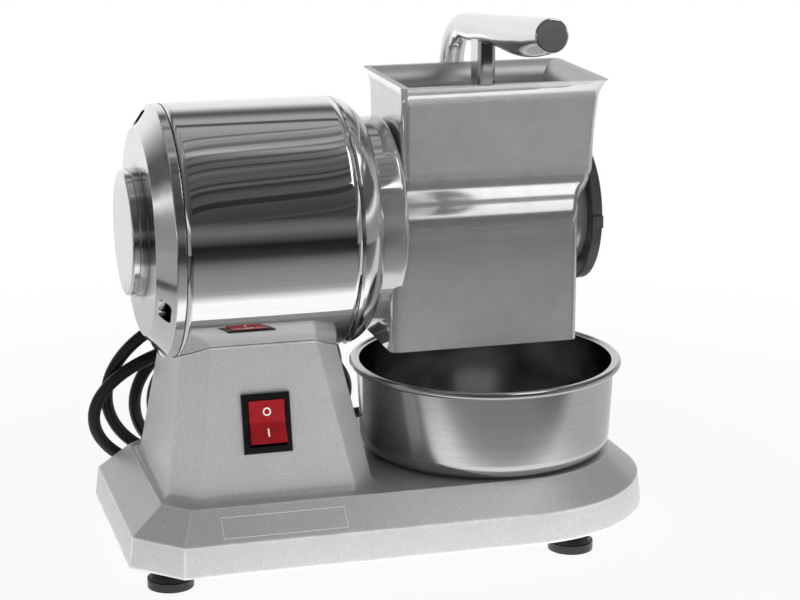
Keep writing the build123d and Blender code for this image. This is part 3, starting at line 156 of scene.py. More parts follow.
def mix_colours(tree, a, b, factor=None, blend_type="MIX"):
    # With no factor the blend is full
    mixed = add_node(tree, "ShaderNodeMix", data_type="RGBA", blend_type=blend_type)
    if factor is None:
        set_input(mixed, "Factor", 1.0)
    else:
        tree.links.new(factor, mixed.inputs["Factor"])
    for socket, value in (("A", a), ("B", b)):
        if isinstance(value, tuple):
            set_input(mixed, socket, value)
        else:
            tree.links.new(value, mixed.inputs[socket])
    return mixed.outputs["Result"]


def split_xyz(tree, source):
    split = add_node(tree, "ShaderNodeSeparateXYZ")
    tree.links.new(source, split.inputs[0])
    return split.outputs


def group_tree(name, inputs, outputs):
    tree = bpy.data.node_groups.new(name, "ShaderNodeTree")
    for socket, kind, value in inputs:
        made = tree.interface.new_socket(socket, in_out="INPUT", socket_type=kind)
        if value is not None:
            made.default_value = value
    for socket, kind in outputs:
        tree.interface.new_socket(socket, in_out="OUTPUT", socket_type=kind)
    return tree, tree.nodes.new("NodeGroupInput"), tree.nodes.new("NodeGroupOutput")


# Shared effects

def make_sparkle_group():
    # Metal flakes in paint: each small cell has its own brightness, over soft large clouds
    tree, source, out = group_tree(
        "paint_flakes",
        [
            ("Vector", "NodeSocketVector", None),
            ("Flake Scale", "NodeSocketFloat", 1100.0),
            ("Cloud Scale", "NodeSocketFloat", 60.0),
        ],
        [("Flake", "NodeSocketFloat"), ("Cloud", "NodeSocketFloat"), ("Height", "NodeSocketFloat")],
    )
    cells = add_node(tree, "ShaderNodeTexVoronoi")
    tree.links.new(source.outputs["Vector"], cells.inputs["Vector"])
    tree.links.new(source.outputs["Flake Scale"], cells.inputs["Scale"])
    split = add_node(tree, "ShaderNodeSeparateColor")
    tree.links.new(cells.outputs["Color"], split.inputs[0])
    cloud = add_node(tree, "ShaderNodeTexNoise")
    set_input(cloud, "Detail", 4.0)
    tree.links.new(source.outputs["Vector"], cloud.inputs["Vector"])
    tree.links.new(source.outputs["Cloud Scale"], cloud.inputs["Scale"])
    tree.links.new(split.outputs[0], out.inputs["Flake"])
    tree.links.new(cloud.outputs[0], out.inputs["Cloud"])
    tree.links.new(cells.outputs["Distance"], out.inputs["Height"])
    return tree


def make_polish_group():
    # Long fine marks of a polishing wheel or a brush, with soft waves under them
    tree, source, out = group_tree(
        "polish_marks",
        [
            ("Vector", "NodeSocketVector", None),
            ("Stretch", "NodeSocketVector", (1.0, 1.0, 1.0)),
            ("Wave Scale", "NodeSocketFloat", 45.0),
        ],
        [("Streak", "NodeSocketFloat"), ("Wave", "NodeSocketFloat")],
    )
    scaled = add_node(tree, "ShaderNodeVectorMath", operation="MULTIPLY")
    tree.links.new(source.outputs["Vector"], scaled.inputs[0])
    tree.links.new(source.outputs["Stretch"], scaled.inputs[1])
    streak = add_node(tree, "ShaderNodeTexNoise")
    set_input(streak, "Scale", 1.0)
    set_input(streak, "Detail", 5.0)
    set_input(streak, "Roughness", 0.65)
    tree.links.new(scaled.outputs[0], streak.inputs["Vector"])
    wave = add_node(tree, "ShaderNodeTexNoise")
    set_input(wave, "Detail", 1.5)
    tree.links.new(source.outputs["Vector"], wave.inputs["Vector"])
    tree.links.new(source.outputs["Wave Scale"], wave.inputs["Scale"])
    tree.links.new(streak.outputs[0], out.inputs["Streak"])
    tree.links.new(wave.outputs[0], out.inputs["Wave"])
    return tree


def make_handling_group():
    # Finger marks and haze: a value between Low and High in soft patches
    tree, source, out = group_tree(
        "handling_marks",
        [
            ("Vector", "NodeSocketVector", None),
            ("Scale", "NodeSocketFloat", 30.0),
            ("Low", "NodeSocketFloat", 0.2),
            ("High", "NodeSocketFloat", 0.4),
        ],
        [("Value", "NodeSocketFloat")],
    )
    patches = add_node(tree, "ShaderNodeTexNoise")
    set_input(patches, "Detail", 3.0)
    set_input(patches, "Distortion", 0.6)
    tree.links.new(source.outputs["Vector"], patches.inputs["Vector"])
    tree.links.new(source.outputs["Scale"], patches.inputs["Scale"])
    spread = add_node(tree, "ShaderNodeMapRange")
    set_input(spread, "From Min", 0.3)
    set_input(spread, "From Max", 0.7)
    tree.links.new(patches.outputs[0], spread.inputs["Value"])
    tree.links.new(source.outputs["Low"], spread.inputs["To Min"])
    tree.links.new(source.outputs["High"], spread.inputs["To Max"])
    tree.links.new(spread.outputs[0], out.inputs["Value"])
    return tree


sparkle_group = make_sparkle_group()
polish_group = make_polish_group()
handling_group = make_handling_group()


class Finish:
    """A material with its Principled shader and Object coordinates at hand."""

    def __init__(self, name):
        self.material = bpy.data.materials.new(name)
        self.material.use_nodes = True
        self.tree = self.material.node_tree
        self.shader = self.tree.nodes["Principled BSDF"]
        self.coordinates = add_node(self.tree, "ShaderNodeTexCoord")
        self.place = self.coordinates.outputs["Object"]

    def set(self, **values):
        for key, value in values.items():
            set_input(self.shader, key.replace("_", " "), value)
        return self

    def group(self, tree, **values):
        made = add_node(self.tree, "ShaderNodeGroup", node_tree=tree)
        for key, value in values.items():
            set_input(made, key.replace("_", " "), value)
        self.tree.links.new(self.place, made.inputs["Vector"])
        return made.outputs

    def feed(self, socket, source):
        self.tree.links.new(source, self.shader.inputs[socket])

    def math(self, operation, a, b=None):
        return math_node(self.tree, operation, a, b)

    def ramp(self, source, stops):
        return ramp_node(self.tree, source, stops)

    def blend(self, a, share, b):
        return self.math("ADD", self.math("MULTIPLY", a, share), self.math("MULTIPLY", b, 1.0 - share))

    def colour(self, source, stops):
        self.feed("Base Color", self.ramp(source, stops))

    def rough(self, scale, low, high):
        self.feed("Roughness", self.group(handling_group, Scale=scale, Low=low, High=high)["Value"])

    def broken_edge(self, radius):
        # Normal of an edge that a tool has broken by the radius given
        made = add_node(self.tree, "ShaderNodeBevel", samples=6)
        set_input(made, "Radius", radius)
        return made.outputs[0]

    def bump(self, height, distance, strength, edge=None):
        # Fine relief, over broken edges where a radius is given
        made = add_node(self.tree, "ShaderNodeBump")
        set_input(made, "Distance", distance)
        set_input(made, "Strength", strength)
        self.tree.links.new(height, made.inputs["Height"])
        if edge:
            self.tree.links.new(self.broken_edge(edge), made.inputs["Normal"])
        self.feed("Normal", made.outputs[0])

    def highlit_edges(self, coat, width, highlight_tone, patches):
        # Painted highlight: paler along the edges, where the broken edge's normal leaves the face's own,
        # and in patches there
        face = add_node(self.tree, "ShaderNodeNewGeometry")
        turn = add_node(self.tree, "ShaderNodeVectorMath", operation="DOT_PRODUCT")
        self.tree.links.new(self.broken_edge(width), turn.inputs[0])
        self.tree.links.new(face.outputs["Normal"], turn.inputs[1])
        edge = self.ramp(turn.outputs["Value"], [(0.95, 1.0), (0.997, 0.0)])
        mask = self.math("MULTIPLY", edge, self.ramp(patches, [(0.35, 0.35), (0.6, 1.0)]))
        self.feed("Base Color", mix_colours(self.tree, coat, (highlight_tone, highlight_tone, highlight_tone, 1), mask))

    def axis(self, letter):
        return split_xyz(self.tree, self.place)[letter]


# Finishes

def sparkle_paint():
    finish = Finish("sparkle_paint").set(Metallic=0.3, Coat_Weight=0.25, Coat_Roughness=0.2)
    flakes = finish.group(sparkle_group, Flake_Scale=2100.0)
    tone = finish.blend(flakes["Flake"], 0.75, flakes["Cloud"])
    coat = finish.ramp(tone, [(0.12, 0.5), (0.5, 0.545), (0.8, 0.58), (0.97, 0.72)])
    # The paint is made paler along its edges as a painted highlight
    finish.highlit_edges(coat, width=0.0022, highlight_tone=0.95, patches=flakes["Cloud"])
    finish.feed("Roughness", finish.ramp(flakes["Flake"], [(0.0, 0.4), (0.8, 0.37), (1.0, 0.3)]))
    finish.bump(flakes["Height"], distance=0.00006, strength=0.4, edge=0.0012)
    return finish.material


def mirror_steel():
    finish = Finish("mirror_steel").set(Metallic=1.0)
    marks = finish.group(polish_group, Stretch=(25.0, 1800.0, 1800.0), Wave_Scale=22.0)
    finish.colour(marks["Streak"], [(0.3, 0.74), (0.7, 0.84)])
    finish.rough(scale=35.0, low=0.02, high=0.05)
    finish.bump(marks["Wave"], distance=0.00012, strength=0.3)
    return finish.material


def buffed_metal(name):
    # A buffed casting that has no colour yet, and the colour that its polish gives
    finish = Finish(name).set(Metallic=1.0)
    marks = finish.group(polish_group, Stretch=(300.0, 300.0, 300.0), Wave_Scale=60.0)
    finish.rough(scale=55.0, low=0.07, high=0.16)
    finish.bump(marks["Wave"], distance=0.0003, strength=0.4, edge=0.0007)
    return finish, finish.ramp(marks["Streak"], [(0.3, 0.75), (0.7, 0.8)])


def polished_casting():
    finish, polish = buffed_metal("polished_casting")
    finish.feed("Base Color", polish)
    return finish.material


def recessed_casting():
    # Polished end casting whose screw pockets are darkened by ambient occlusion: painted shade in the
    # hollows
    finish, polish = buffed_metal("recessed_casting")
    shade = add_node(finish.tree, "ShaderNodeAmbientOcclusion", samples=8, only_local=True)
    set_input(shade, "Distance", 0.012)
    pocket_shade = finish.ramp(shade.outputs["AO"], [(0.35, 0.03), (0.8, 1.0)])
    finish.feed("Base Color", mix_colours(finish.tree, polish, pocket_shade, blend_type="MULTIPLY"))
    return finish.material


def satin_casting():
    # Front and back walls are ground satin; edges, ends and the flared mouth are buffed bright
    finish = Finish("satin_casting").set(Metallic=0.78)
    marks = finish.group(polish_group, Stretch=(60.0, 700.0, 700.0), Wave_Scale=130.0)
    height = finish.axis("Z")
    brushed = finish.ramp(finish.blend(marks["Streak"], 0.4, marks["Wave"]), [(0.3, 0.72), (0.7, 0.8)])
    # Painted shade: the colour darkens below the hopper's shoulder by height, most just under it
    painted_chute_shade = finish.ramp(height, [(0.111, 0.76), (0.15, 0.66), (0.168, 0.52), (0.198, 1.0)])
    finish.feed("Base Color", mix_colours(finish.tree, brushed, painted_chute_shade, blend_type="MULTIPLY"))
    facing = split_xyz(finish.tree, finish.coordinates.outputs["Normal"])
    sloped = finish.ramp(finish.math("ABSOLUTE", facing["Z"]), [(0.01, 0.42), (0.12, 0.3), (0.4, 0.17)])
    sideways = finish.ramp(finish.math("ABSOLUTE", facing["X"]), [(0.06, 1.0), (0.25, 0.28)])
    high = finish.ramp(height, [(0.242, 1.0), (0.249, 0.35)])
    inside = finish.ramp(finish.math("ABSOLUTE", finish.axis("Y")), [(0.0325, 1.0), (0.0352, 0.0)])
    mouth = finish.math("MAXIMUM", high, inside)
    flange = shifted_ramp(finish.tree, finish.axis("X"), 0.05, [(-0.005, 0.25), (0.0015, 1.0)])
    haze = finish.group(handling_group, Scale=50.0, Low=0.9, High=1.12)["Value"]
    walls = finish.math("MULTIPLY", sloped, sideways)
    satin = finish.math("MULTIPLY", walls, finish.math("MULTIPLY", mouth, flange))
    # The flare's inside is left as it was brushed
    upward = finish.ramp(facing["Z"], [(0.05, 0.0), (0.2, 0.45)])
    lofty = finish.ramp(height, [(0.234, 0.0), (0.24, 1.0)])
    brushed_mouth = finish.math("MULTIPLY", upward, lofty)
    finish.feed("Roughness", finish.math("MAXIMUM", finish.math("MULTIPLY", satin, haze), brushed_mouth))
    finish.bump(marks["Wave"], distance=0.00005, strength=0.2)
    return finish.material


def satin_steel():
    finish = Finish("satin_steel").set(Metallic=1.0)
    marks = finish.group(polish_group, Stretch=(90.0, 90.0, 1500.0), Wave_Scale=18.0)
    finish.colour(marks["Streak"], [(0.3, 0.52), (0.7, 0.64)])
    finish.rough(scale=40.0, low=0.2, high=0.3)
    finish.bump(marks["Streak"], distance=0.00002, strength=0.6)
    return finish.material


def bowl_steel():
    # Spun and buffed sheet with faint rings
    finish = Finish("bowl_steel").set(Metallic=1.0)
    marks = finish.group(polish_group, Stretch=(12.0, 12.0, 700.0), Wave_Scale=14.0)
    finish.colour(marks["Streak"], [(0.3, 0.5), (0.7, 0.55)])
    finish.rough(scale=26.0, low=0.13, high=0.19)
    finish.bump(marks["Wave"], distance=0.00006, strength=0.3)
    return finish.material


def screw_metal(name, metallic, low, high, rough_low, rough_high):
    finish = Finish(name).set(Metallic=metallic)
    marks = finish.group(polish_group, Stretch=(900.0, 900.0, 900.0))
    finish.colour(marks["Streak"], [(0.3, low), (0.7, high)])
    finish.rough(scale=200.0, low=rough_low, high=rough_high)
    return finish.material


def zinc_sheet():
    finish = Finish("zinc_sheet").set(Metallic=0.9)
    flakes = finish.group(sparkle_group, Flake_Scale=220.0, Cloud_Scale=30.0)
    finish.colour(flakes["Flake"], [(0.0, 0.42), (1.0, 0.6)])
    finish.rough(scale=40.0, low=0.35, high=0.55)
    return finish.material


def rubber(name, low, high):
    finish = Finish(name)
    grain = finish.group(sparkle_group, Flake_Scale=1600.0, Cloud_Scale=90.0)
    finish.colour(grain["Cloud"], [(0.3, low), (0.7, high)])
    finish.rough(scale=80.0, low=0.45, high=0.65)
    finish.bump(grain["Height"], distance=0.00006, strength=0.4)
    return finish.material


def foot_rubber():
    # Black cone on a paler disc below it, the disc's paleness painted light
    finish = Finish("foot_rubber").set(Specular_IOR_Level=0.3)
    grain = finish.group(sparkle_group, Flake_Scale=1600.0, Cloud_Scale=90.0)
    lit_disc_height = finish.math("ADD", finish.axis("Z"), finish.math("MULTIPLY", grain["Cloud"], 0.0006))
    finish.colour(lit_disc_height, [(0.0046, 0.022), (0.0052, 0.004)])
    finish.rough(scale=80.0, low=0.3, high=0.45)
    finish.bump(grain["Height"], distance=0.00006, strength=0.4)
    return finish.material


def cord_sheath():
    finish = Finish("cord_sheath").set(Coat_Weight=0.06, Coat_Roughness=0.15, Specular_IOR_Level=0.2)
    grain = finish.group(sparkle_group, Flake_Scale=900.0, Cloud_Scale=45.0)
    finish.colour(grain["Cloud"], [(0.3, 0.003), (0.7, 0.008)])
    finish.rough(scale=60.0, low=0.3, high=0.42)
    return finish.material


def plastic(name, low, high, rough_low, rough_high):
    finish = Finish(name).set(Specular_IOR_Level=0.3)
    grain = finish.group(sparkle_group, Flake_Scale=2400.0, Cloud_Scale=120.0)
    finish.colour(grain["Cloud"], [(0.3, low), (0.7, high)])
    finish.rough(scale=120.0, low=rough_low, high=rough_high)
    finish.bump(grain["Height"], distance=0.00003, strength=0.35)
    return finish.material


def lamination():
    # Stacked thin sheets, seen as fine rings along the motor axis
    finish = Finish("lamination").set(Metallic=0.7)
    bands = add_node(finish.tree, "ShaderNodeTexWave", bands_direction="X")
    set_input(bands, "Scale", 320.0)
    finish.tree.links.new(finish.place, bands.inputs["Vector"])
    finish.colour(bands.outputs["Fac"], [(0.2, 0.12), (0.8, 0.26)])
    finish.rough(scale=90.0, low=0.4, high=0.6)
    return finish.material


def copper_wire():
    finish = Finish("copper_wire").set(Metallic=0.85)
    marks = finish.group(polish_group, Stretch=(1300.0, 260.0, 260.0))
    finish.colour(marks["Streak"], [(0.3, (0.25, 0.08, 0.03)), (0.7, (0.62, 0.25, 0.1))])
    finish.rough(scale=120.0, low=0.25, high=0.4)
    finish.bump(marks["Streak"], distance=0.0003, strength=0.8)
    return finish.material


def brass_metal():
    finish = Finish("brass_metal").set(Metallic=1.0)
    marks = finish.group(polish_group, Stretch=(700.0, 700.0, 700.0))
    finish.colour(marks["Streak"], [(0.3, (0.55, 0.4, 0.15)), (0.7, (0.72, 0.55, 0.24))])
    finish.rough(scale=120.0, low=0.2, high=0.35)
    return finish.material


mirror = mirror_steel()
casting = polished_casting()
steel = satin_steel()
screws = screw_metal("screw_steel", metallic=1.0, low=0.3, high=0.46, rough_low=0.25, rough_high=0.42)
dark_screws = screw_metal("black_screw", metallic=0.8, low=0.02, high=0.05, rough_low=0.3, rough_high=0.45)
plug_rubber = rubber("black_rubber", low=0.012, high=0.03)
# Black rubber of the seals, also used for the dark gap rings and socket plates that are painted shade
seal_rubber = rubber("seal_rubber", low=0.006, high=0.014)
sheath = cord_sheath()
black_plastic = plastic("black_plastic", low=0.004, high=0.008, rough_low=0.32, rough_high=0.45)
grey_plastic = plastic("grey_plastic", low=0.28, high=0.36, rough_low=0.35, rough_high=0.5)
white_print = plastic("white_print", low=0.78, high=0.86, rough_low=0.4, rough_high=0.55)
label_edge = plastic("label_edge", low=0.72, high=0.8, rough_low=0.35, rough_high=0.5)
sheet_stack = lamination()
brass = brass_metal()
dark_red = (0.28, 0.011, 0.015)
pale_red = (0.34, 0.015, 0.019)

NODE_FINISH = {
    "base_casting": sparkle_paint(),
    "bottom_plate": zinc_sheet(),
    "bottom_plate_screws": screws,
    "capacitor": grey_plastic,
    "catch_bowl": bowl_steel(),
    "cooling_fan": black_plastic,
    "cord_gland": seal_rubber,
    "cover_ring": plastic("ring_plastic", low=0.035, high=0.055, rough_low=0.35, rough_high=0.5),
    "drive_pin": steel,
    "end_bush": brass,
    "end_cover": casting,
    "flange_bolts": screws,
    "foot_screws": screws,
    "front_bearing": steel,
    "front_bell": casting,
    "grater_body": satin_casting(),
    "grating_drum": steel,
    "hinge_pin": screws,
    "motor_screws": screws,
    "plug_body": plug_rubber,
    "plug_pins": brass,
    "pusher_lever": casting,
    "pusher_plate": casting,
    "pusher_screw": screws,
    "rear_bearing": steel,
    "rear_cap": recessed_casting(),
    "rear_cap_screws": dark_screws,
    "rotor_core": sheet_stack,
    "rotor_shaft": steel,
    "rubber_feet": foot_rubber(),
    "shaft_seal": seal_rubber,
    "stator_core": sheet_stack,
    "stator_windings": copper_wire(),
    "switch_housing": black_plastic,
    "switch_rocker": plastic("red_plastic", low=dark_red, high=pale_red, rough_low=0.12, rough_high=0.2),
    "switch_terminals": brass,
    "terminal_block": grey_plastic,
}
for node_name, node_material in NODE_FINISH.items():
    node_mesh = nodes[node_name].data
    node_mesh.materials.clear()
    node_mesh.materials.append(node_material)


# Mains cord: lead from the gland, loose loops behind the pedestal, tail to the plug

CORD_RADIUS = 3.5
# Points of the route, in mm
LEAD = [
    (55, 109.92, 19), (55, 138.12, 19), (35.7, 158.92, 15), (7.5, 160.92, 9.5),
    (-14.6, 143.22, 6), (-18.5, 115.92, 5.2), (-38.8, 98.35, 5), (-64.5, 98.35, 5),
]
# Each loop is its middle (x, z) and its half sizes. The loops lean, each a step behind the one before
LOOPS = [(-71.5, 51, 73.5, 46), (-70, 63, 67, 54), (-67.5, 53, 51.5, 47), (-62, 50, 45, 44)]
LOOPS_END = (-17, 113.53, 43.88)
LOOPS_FOOT_Y = 101
LOOPS_LEAN = 0.53
LOOPS_STEP = 9.5
LOOPS_LOWEST = 4.6
QUARTERS = 4
TAIL = [
    (-17, 122.91, 27.02), (-7.3, 131.01, 12.42), (9.4, 135.71, 4),
    (41.5, 135.71, 4), (81.5, 150, 18.5), (104, 150, 18.5),
]


def loop_marks():
    # Bottom, left, top and right of each loop, as (x, z)
    marks = []
    for mid_x, mid_z, half_x, half_z in LOOPS:
        marks += [(mid_x, mid_z - half_z), (mid_x - half_x, mid_z)]
        marks += [(mid_x, mid_z + half_z), (mid_x + half_x, mid_z)]
    return marks


def coil_points(per_quarter=4, outward=1.0195):
    # Quarters of ellipses from mark to mark, pushed out a little because the spline cuts inside its points
    marks = loop_marks()
    points = []
    for index, (a, b) in enumerate(zip(marks, marks[1:])):
        level = index % 2 == 0
        centre = (a[0], b[1]) if level else (b[0], a[1])
        for step in range(per_quarter):
            share = (step + 0.5) / per_quarter
            rise = math.sin(share * math.pi / 2) * outward
            fall = math.cos(share * math.pi / 2) * outward
            if level:
                x = centre[0] + (b[0] - centre[0]) * rise
                z = centre[1] + (a[1] - centre[1]) * fall
            else:
                x = centre[0] + (a[0] - centre[0]) * fall
                z = centre[1] + (b[1] - centre[1]) * rise
            z = max(z, LOOPS_LOWEST)
            points.append((x, LOOPS_FOOT_Y - LOOPS_LEAN * z + LOOPS_STEP * (index + share) / QUARTERS, z))
    return points


cord_points = LEAD + coil_points() + [LOOPS_END] + TAIL
cord_curve = bpy.data.curves.new("mains_cord", "CURVE")
cord_curve.dimensions = "3D"
cord_curve.bevel_depth = CORD_RADIUS * 0.001
cord_curve.bevel_resolution = 5
cord_curve.resolution_u = 6
cord_curve.use_fill_caps = True
spline = cord_curve.splines.new("NURBS")
spline.points.add(len(cord_points) - 1)
for point, place in zip(spline.points, cord_points):
    point.co = (*mm(*place), 1.0)
spline.order_u = 3
spline.use_endpoint_u = True
cord = bpy.data.objects.new("mains_cord", cord_curve)
scene.collection.objects.link(cord)
cord_curve.materials.append(sheath)
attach(cord, "frame")
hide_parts("cord_lead", "cord_coil", "cord_tail")


# Motor shell: polished tube whose ends draw in a little, with a dark ring at each end as painted shade of
# the gap

# Sizes in mm, along the motor's axis and from it
SHELL_REAR = -115.0
SHELL_FRONT = -26.0
SHELL_RADIUS = 66.4
SHELL_WALL = 1.2
SHELL_STEPS = 28
DRAWN_IN = 0.25
DRAWN_LENGTH = 7.0
GAP_SHADE_INNER = 65.7
GAP_SHADE_OUTER = 66.12
GAP_SHADE_HALF = 0.2


def shell_profile():
    outer = []
    for step in range(SHELL_STEPS + 1):
        x = SHELL_REAR + (SHELL_FRONT - SHELL_REAR) * step / SHELL_STEPS
        near = min(x - SHELL_REAR, SHELL_FRONT - x)
        outer.append((x, SHELL_RADIUS - DRAWN_IN * math.exp(-near / DRAWN_LENGTH)))
    inner = SHELL_RADIUS - SHELL_WALL
    return outer + [(SHELL_FRONT, inner), (SHELL_REAR, inner)]


# Thin near-black ring set into the gap at a shell end: painted shade of the gap
def gap_shade_ring(name, x):
    low, high = x - GAP_SHADE_HALF, x + GAP_SHADE_HALF
    profile = [(low, GAP_SHADE_INNER), (low, GAP_SHADE_OUTER), (high, GAP_SHADE_OUTER), (high, GAP_SHADE_INNER)]
    new_piece(name, turned(name, profile), "frame", seal_rubber, smooth=False)


shell_mesh = turned("motor_shell_polished", shell_profile())
shell = new_piece("motor_shell_polished", shell_mesh, "frame", mirror)
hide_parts("motor_shell")
gap_shade_ring("rear_seam", SHELL_REAR - GAP_SHADE_HALF)
gap_shade_ring("front_seam", SHELL_FRONT + GAP_SHADE_HALF)


# Flat prints and raised outlines

# How far a print reaches into the piece under it, in m
SUNK = 0.0001


def raised_flat(name, outer, inner, up, thickness, body, material):
    """Thin closed plate between an outer and an inner outline, or a full plate with no inner one."""
    bm = bmesh.new()
    outlines = [outline for outline in (outer, inner) if outline]
    levels = []
    for lift in (thickness, -SUNK):
        levels.append([[bm.verts.new(point + up * lift) for point in outline] for outline in outlines])
    for rim_top, rim_bottom in zip(*levels):
        band_faces(bm, rim_top, rim_bottom)
    for rims in levels:
        if inner:
            band_faces(bm, *rims)
        else:
            bm.faces.new(rims[0])
    new_piece(name, mesh_from(bm, name), body, material, smooth=False)


# The rocker leans back. O and I are given in mm from the switch's middle, thicknesses and reaches in m
SWITCH_MIDDLE = mm(-73, -48.5, 78.9)
ROCKER_LEAN = math.radians(21.84)
ROCKER_UP = Vector((0, math.sin(ROCKER_LEAN), math.cos(ROCKER_LEAN)))
ROCKER_OUT = Vector((0, -math.cos(ROCKER_LEAN), math.sin(ROCKER_LEAN)))
PRINT_START = 0.03
PRINT_REACH = 0.025
PRINT_THICKNESS = 0.00008
OFF_MIDDLE, OFF_OUTER, OFF_INNER = 5.6, 2.15, 1.45
ON_HALF_WIDTH, ON_LOW, ON_HIGH = 0.42, -7.4, -3.1
rocker_mesh = nodes["switch_rocker"].data
rocker_faces = BVHTree.FromPolygons(
    [v.co for v in rocker_mesh.vertices], [p.vertices for p in rocker_mesh.polygons],
)


def on_rocker(across, up):
    # The rocker's face, or a place close to it where the ray slips between two faces
    start = SWITCH_MIDDLE + ROCKER_UP * (up * 0.001) + mm(across, 0, 0) + ROCKER_OUT * PRINT_START
    hit = rocker_faces.ray_cast(start, -ROCKER_OUT)[0]
    return hit if hit else start - ROCKER_OUT * PRINT_REACH


def round_outline(radius, count=40):
    turns = [2 * math.pi * k / count for k in range(count)]
    return [on_rocker(radius * math.cos(t), OFF_MIDDLE + radius * math.sin(t)) for t in turns]


def printed(name, outer, inner=None):
    raised_flat(name, outer, inner, ROCKER_OUT, PRINT_THICKNESS, "rocker", white_print)


on_low = [on_rocker(-ON_HALF_WIDTH, ON_LOW), on_rocker(ON_HALF_WIDTH, ON_LOW)]
on_high = [on_rocker(ON_HALF_WIDTH, ON_HIGH), on_rocker(-ON_HALF_WIDTH, ON_HIGH)]
printed("off_mark", round_outline(OFF_OUTER), round_outline(OFF_INNER))
printed("on_mark", on_low + on_high)

# Empty clear label on the base's front bevel, drawn as a raised outline whose pale tone is a painted
# highlight on its edge. Sizes in mm, the thickness in m
BEVEL_FOOT_Y = -81.5
BEVEL_FOOT_Z = 27
BEVEL_RISE = 14
BEVEL_INSET = 16.5
LABEL_X = (-102.5, -37.2)
LABEL_Y = (-79.0, -69.3)
LABEL_LINE = 0.45
LABEL_THICKNESS = 0.00012
# What a length along the slope takes up in y
SLOPE_SHARE = 0.76


def on_bevel(x, y):
    return mm(x, y, BEVEL_FOOT_Z + (y - BEVEL_FOOT_Y) * BEVEL_RISE / BEVEL_INSET)


def label_outline(inset):
    left, right = LABEL_X[0] + inset, LABEL_X[1] - inset
    near, far = LABEL_Y[0] + inset * SLOPE_SHARE, LABEL_Y[1] - inset * SLOPE_SHARE
    return [on_bevel(left, near), on_bevel(right, near), on_bevel(right, far), on_bevel(left, far)]


label_rims = [label_outline(0), label_outline(LABEL_LINE)]
bevel_out = Vector((0, -BEVEL_RISE, BEVEL_INSET)).normalized()
raised_flat("label_edge", *label_rims, bevel_out, LABEL_THICKNESS, "frame", label_edge)


# Repeated details by Geometry Nodes

def geometry_tree(name, inputs):
    tree = bpy.data.node_groups.new(name, "GeometryNodeTree")
    tree.is_modifier = True
    tree.interface.new_socket("Geometry", in_out="INPUT", socket_type="NodeSocketGeometry")
    for socket, kind in inputs + [("Turn", "NodeSocketRotation"), ("Material", "NodeSocketMaterial")]:
        tree.interface.new_socket(socket, in_out="INPUT", socket_type=kind)
    tree.interface.new_socket("Geometry", in_out="OUTPUT", socket_type="NodeSocketGeometry")
    return tree, tree.nodes.new("NodeGroupInput"), tree.nodes.new("NodeGroupOutput")


def place_on_points(tree, source, out, shape, scale=None):
    # The shape on each point, turned, made real and given its material
    placed = add_node(tree, "GeometryNodeInstanceOnPoints")
    tree.links.new(source.outputs["Geometry"], placed.inputs["Points"])
    tree.links.new(shape, placed.inputs["Instance"])
    tree.links.new(source.outputs["Turn"], placed.inputs["Rotation"])
    if scale:
        tree.links.new(scale, placed.inputs["Scale"])
    realize = tree.nodes.new("GeometryNodeRealizeInstances")
    dress = tree.nodes.new("GeometryNodeSetMaterial")
    tree.links.new(placed.outputs[0], realize.inputs[0])
    tree.links.new(realize.outputs[0], dress.inputs["Geometry"])
    tree.links.new(source.outputs["Material"], dress.inputs["Material"])
    tree.links.new(dress.outputs[0], out.inputs[0])


def make_rib_tree():
    # Rings on a row of points, from the first radius to the last. Their thickness is a share of the radius
    tree, source, out = geometry_tree("grip_ribs", [
        ("Rib Thickness", "NodeSocketFloat"), ("First Radius", "NodeSocketFloat"),
        ("Last Radius", "NodeSocketFloat"), ("Rib Count", "NodeSocketInt"),
    ])
    ring = add_node(tree, "GeometryNodeCurvePrimitiveCircle")
    set_input(ring, "Resolution", 40)
    set_input(ring, "Radius", 1.0)
    section = add_node(tree, "GeometryNodeCurvePrimitiveCircle")
    set_input(section, "Resolution", 8)
    tree.links.new(source.outputs["Rib Thickness"], section.inputs["Radius"])
    rib = add_node(tree, "GeometryNodeCurveToMesh")
    tree.links.new(ring.outputs[0], rib.inputs["Curve"])
    tree.links.new(section.outputs[0], rib.inputs["Profile Curve"])
    index = add_node(tree, "GeometryNodeInputIndex")
    last = math_node(tree, "SUBTRACT", source.outputs["Rib Count"], 1.0)
    spread = add_node(tree, "ShaderNodeMapRange")
    tree.links.new(index.outputs[0], spread.inputs["Value"])
    tree.links.new(last, spread.inputs["From Max"])
    tree.links.new(source.outputs["First Radius"], spread.inputs["To Min"])
    tree.links.new(source.outputs["Last Radius"], spread.inputs["To Max"])
    place_on_points(tree, source, out, rib.outputs[0], spread.outputs[0])
    return tree


def make_socket_shade_tree():
    # Thin many-sided plate on each screw head, which shows as its socket; its dark material is painted
    # shade of the socket's hollow
    tree, source, out = geometry_tree("screw_sockets", [
        ("Socket Radius", "NodeSocketFloat"), ("Socket Depth", "NodeSocketFloat"),
        ("Sides", "NodeSocketInt"),
    ])
    plate = add_node(tree, "GeometryNodeMeshCylinder")
    tree.links.new(source.outputs["Sides"], plate.inputs["Vertices"])
    tree.links.new(source.outputs["Socket Radius"], plate.inputs["Radius"])
    tree.links.new(source.outputs["Socket Depth"], plate.inputs["Depth"])
    place_on_points(tree, source, out, plate.outputs["Mesh"])
    return tree


def repeated(name, tree, points, material, smooth, **values):
    # One plain mesh of the tree's shapes on the points, fixed to the frame
    mesh = bpy.data.meshes.new(name + "_points")
    mesh.from_pydata(points, [], [])
    carrier = bpy.data.objects.new(name + "_points", mesh)
    scene.collection.objects.link(carrier)
    modifier = carrier.modifiers.new("repeat", "NODES")
    modifier.node_group = tree
    values["Material"] = material
    for item in tree.interface.items_tree:
        key = item.name.replace(" ", "_")
        if item.in_out == "INPUT" and key in values:
            modifier[item.identifier] = values[key]
    made = bpy.data.meshes.new_from_object(carrier.evaluated_get(bpy.context.evaluated_depsgraph_get()))
    carrier.modifiers.clear()
    bpy.data.objects.remove(carrier)
    made.name = name
    new_piece(name, made, "frame", material, smooth)


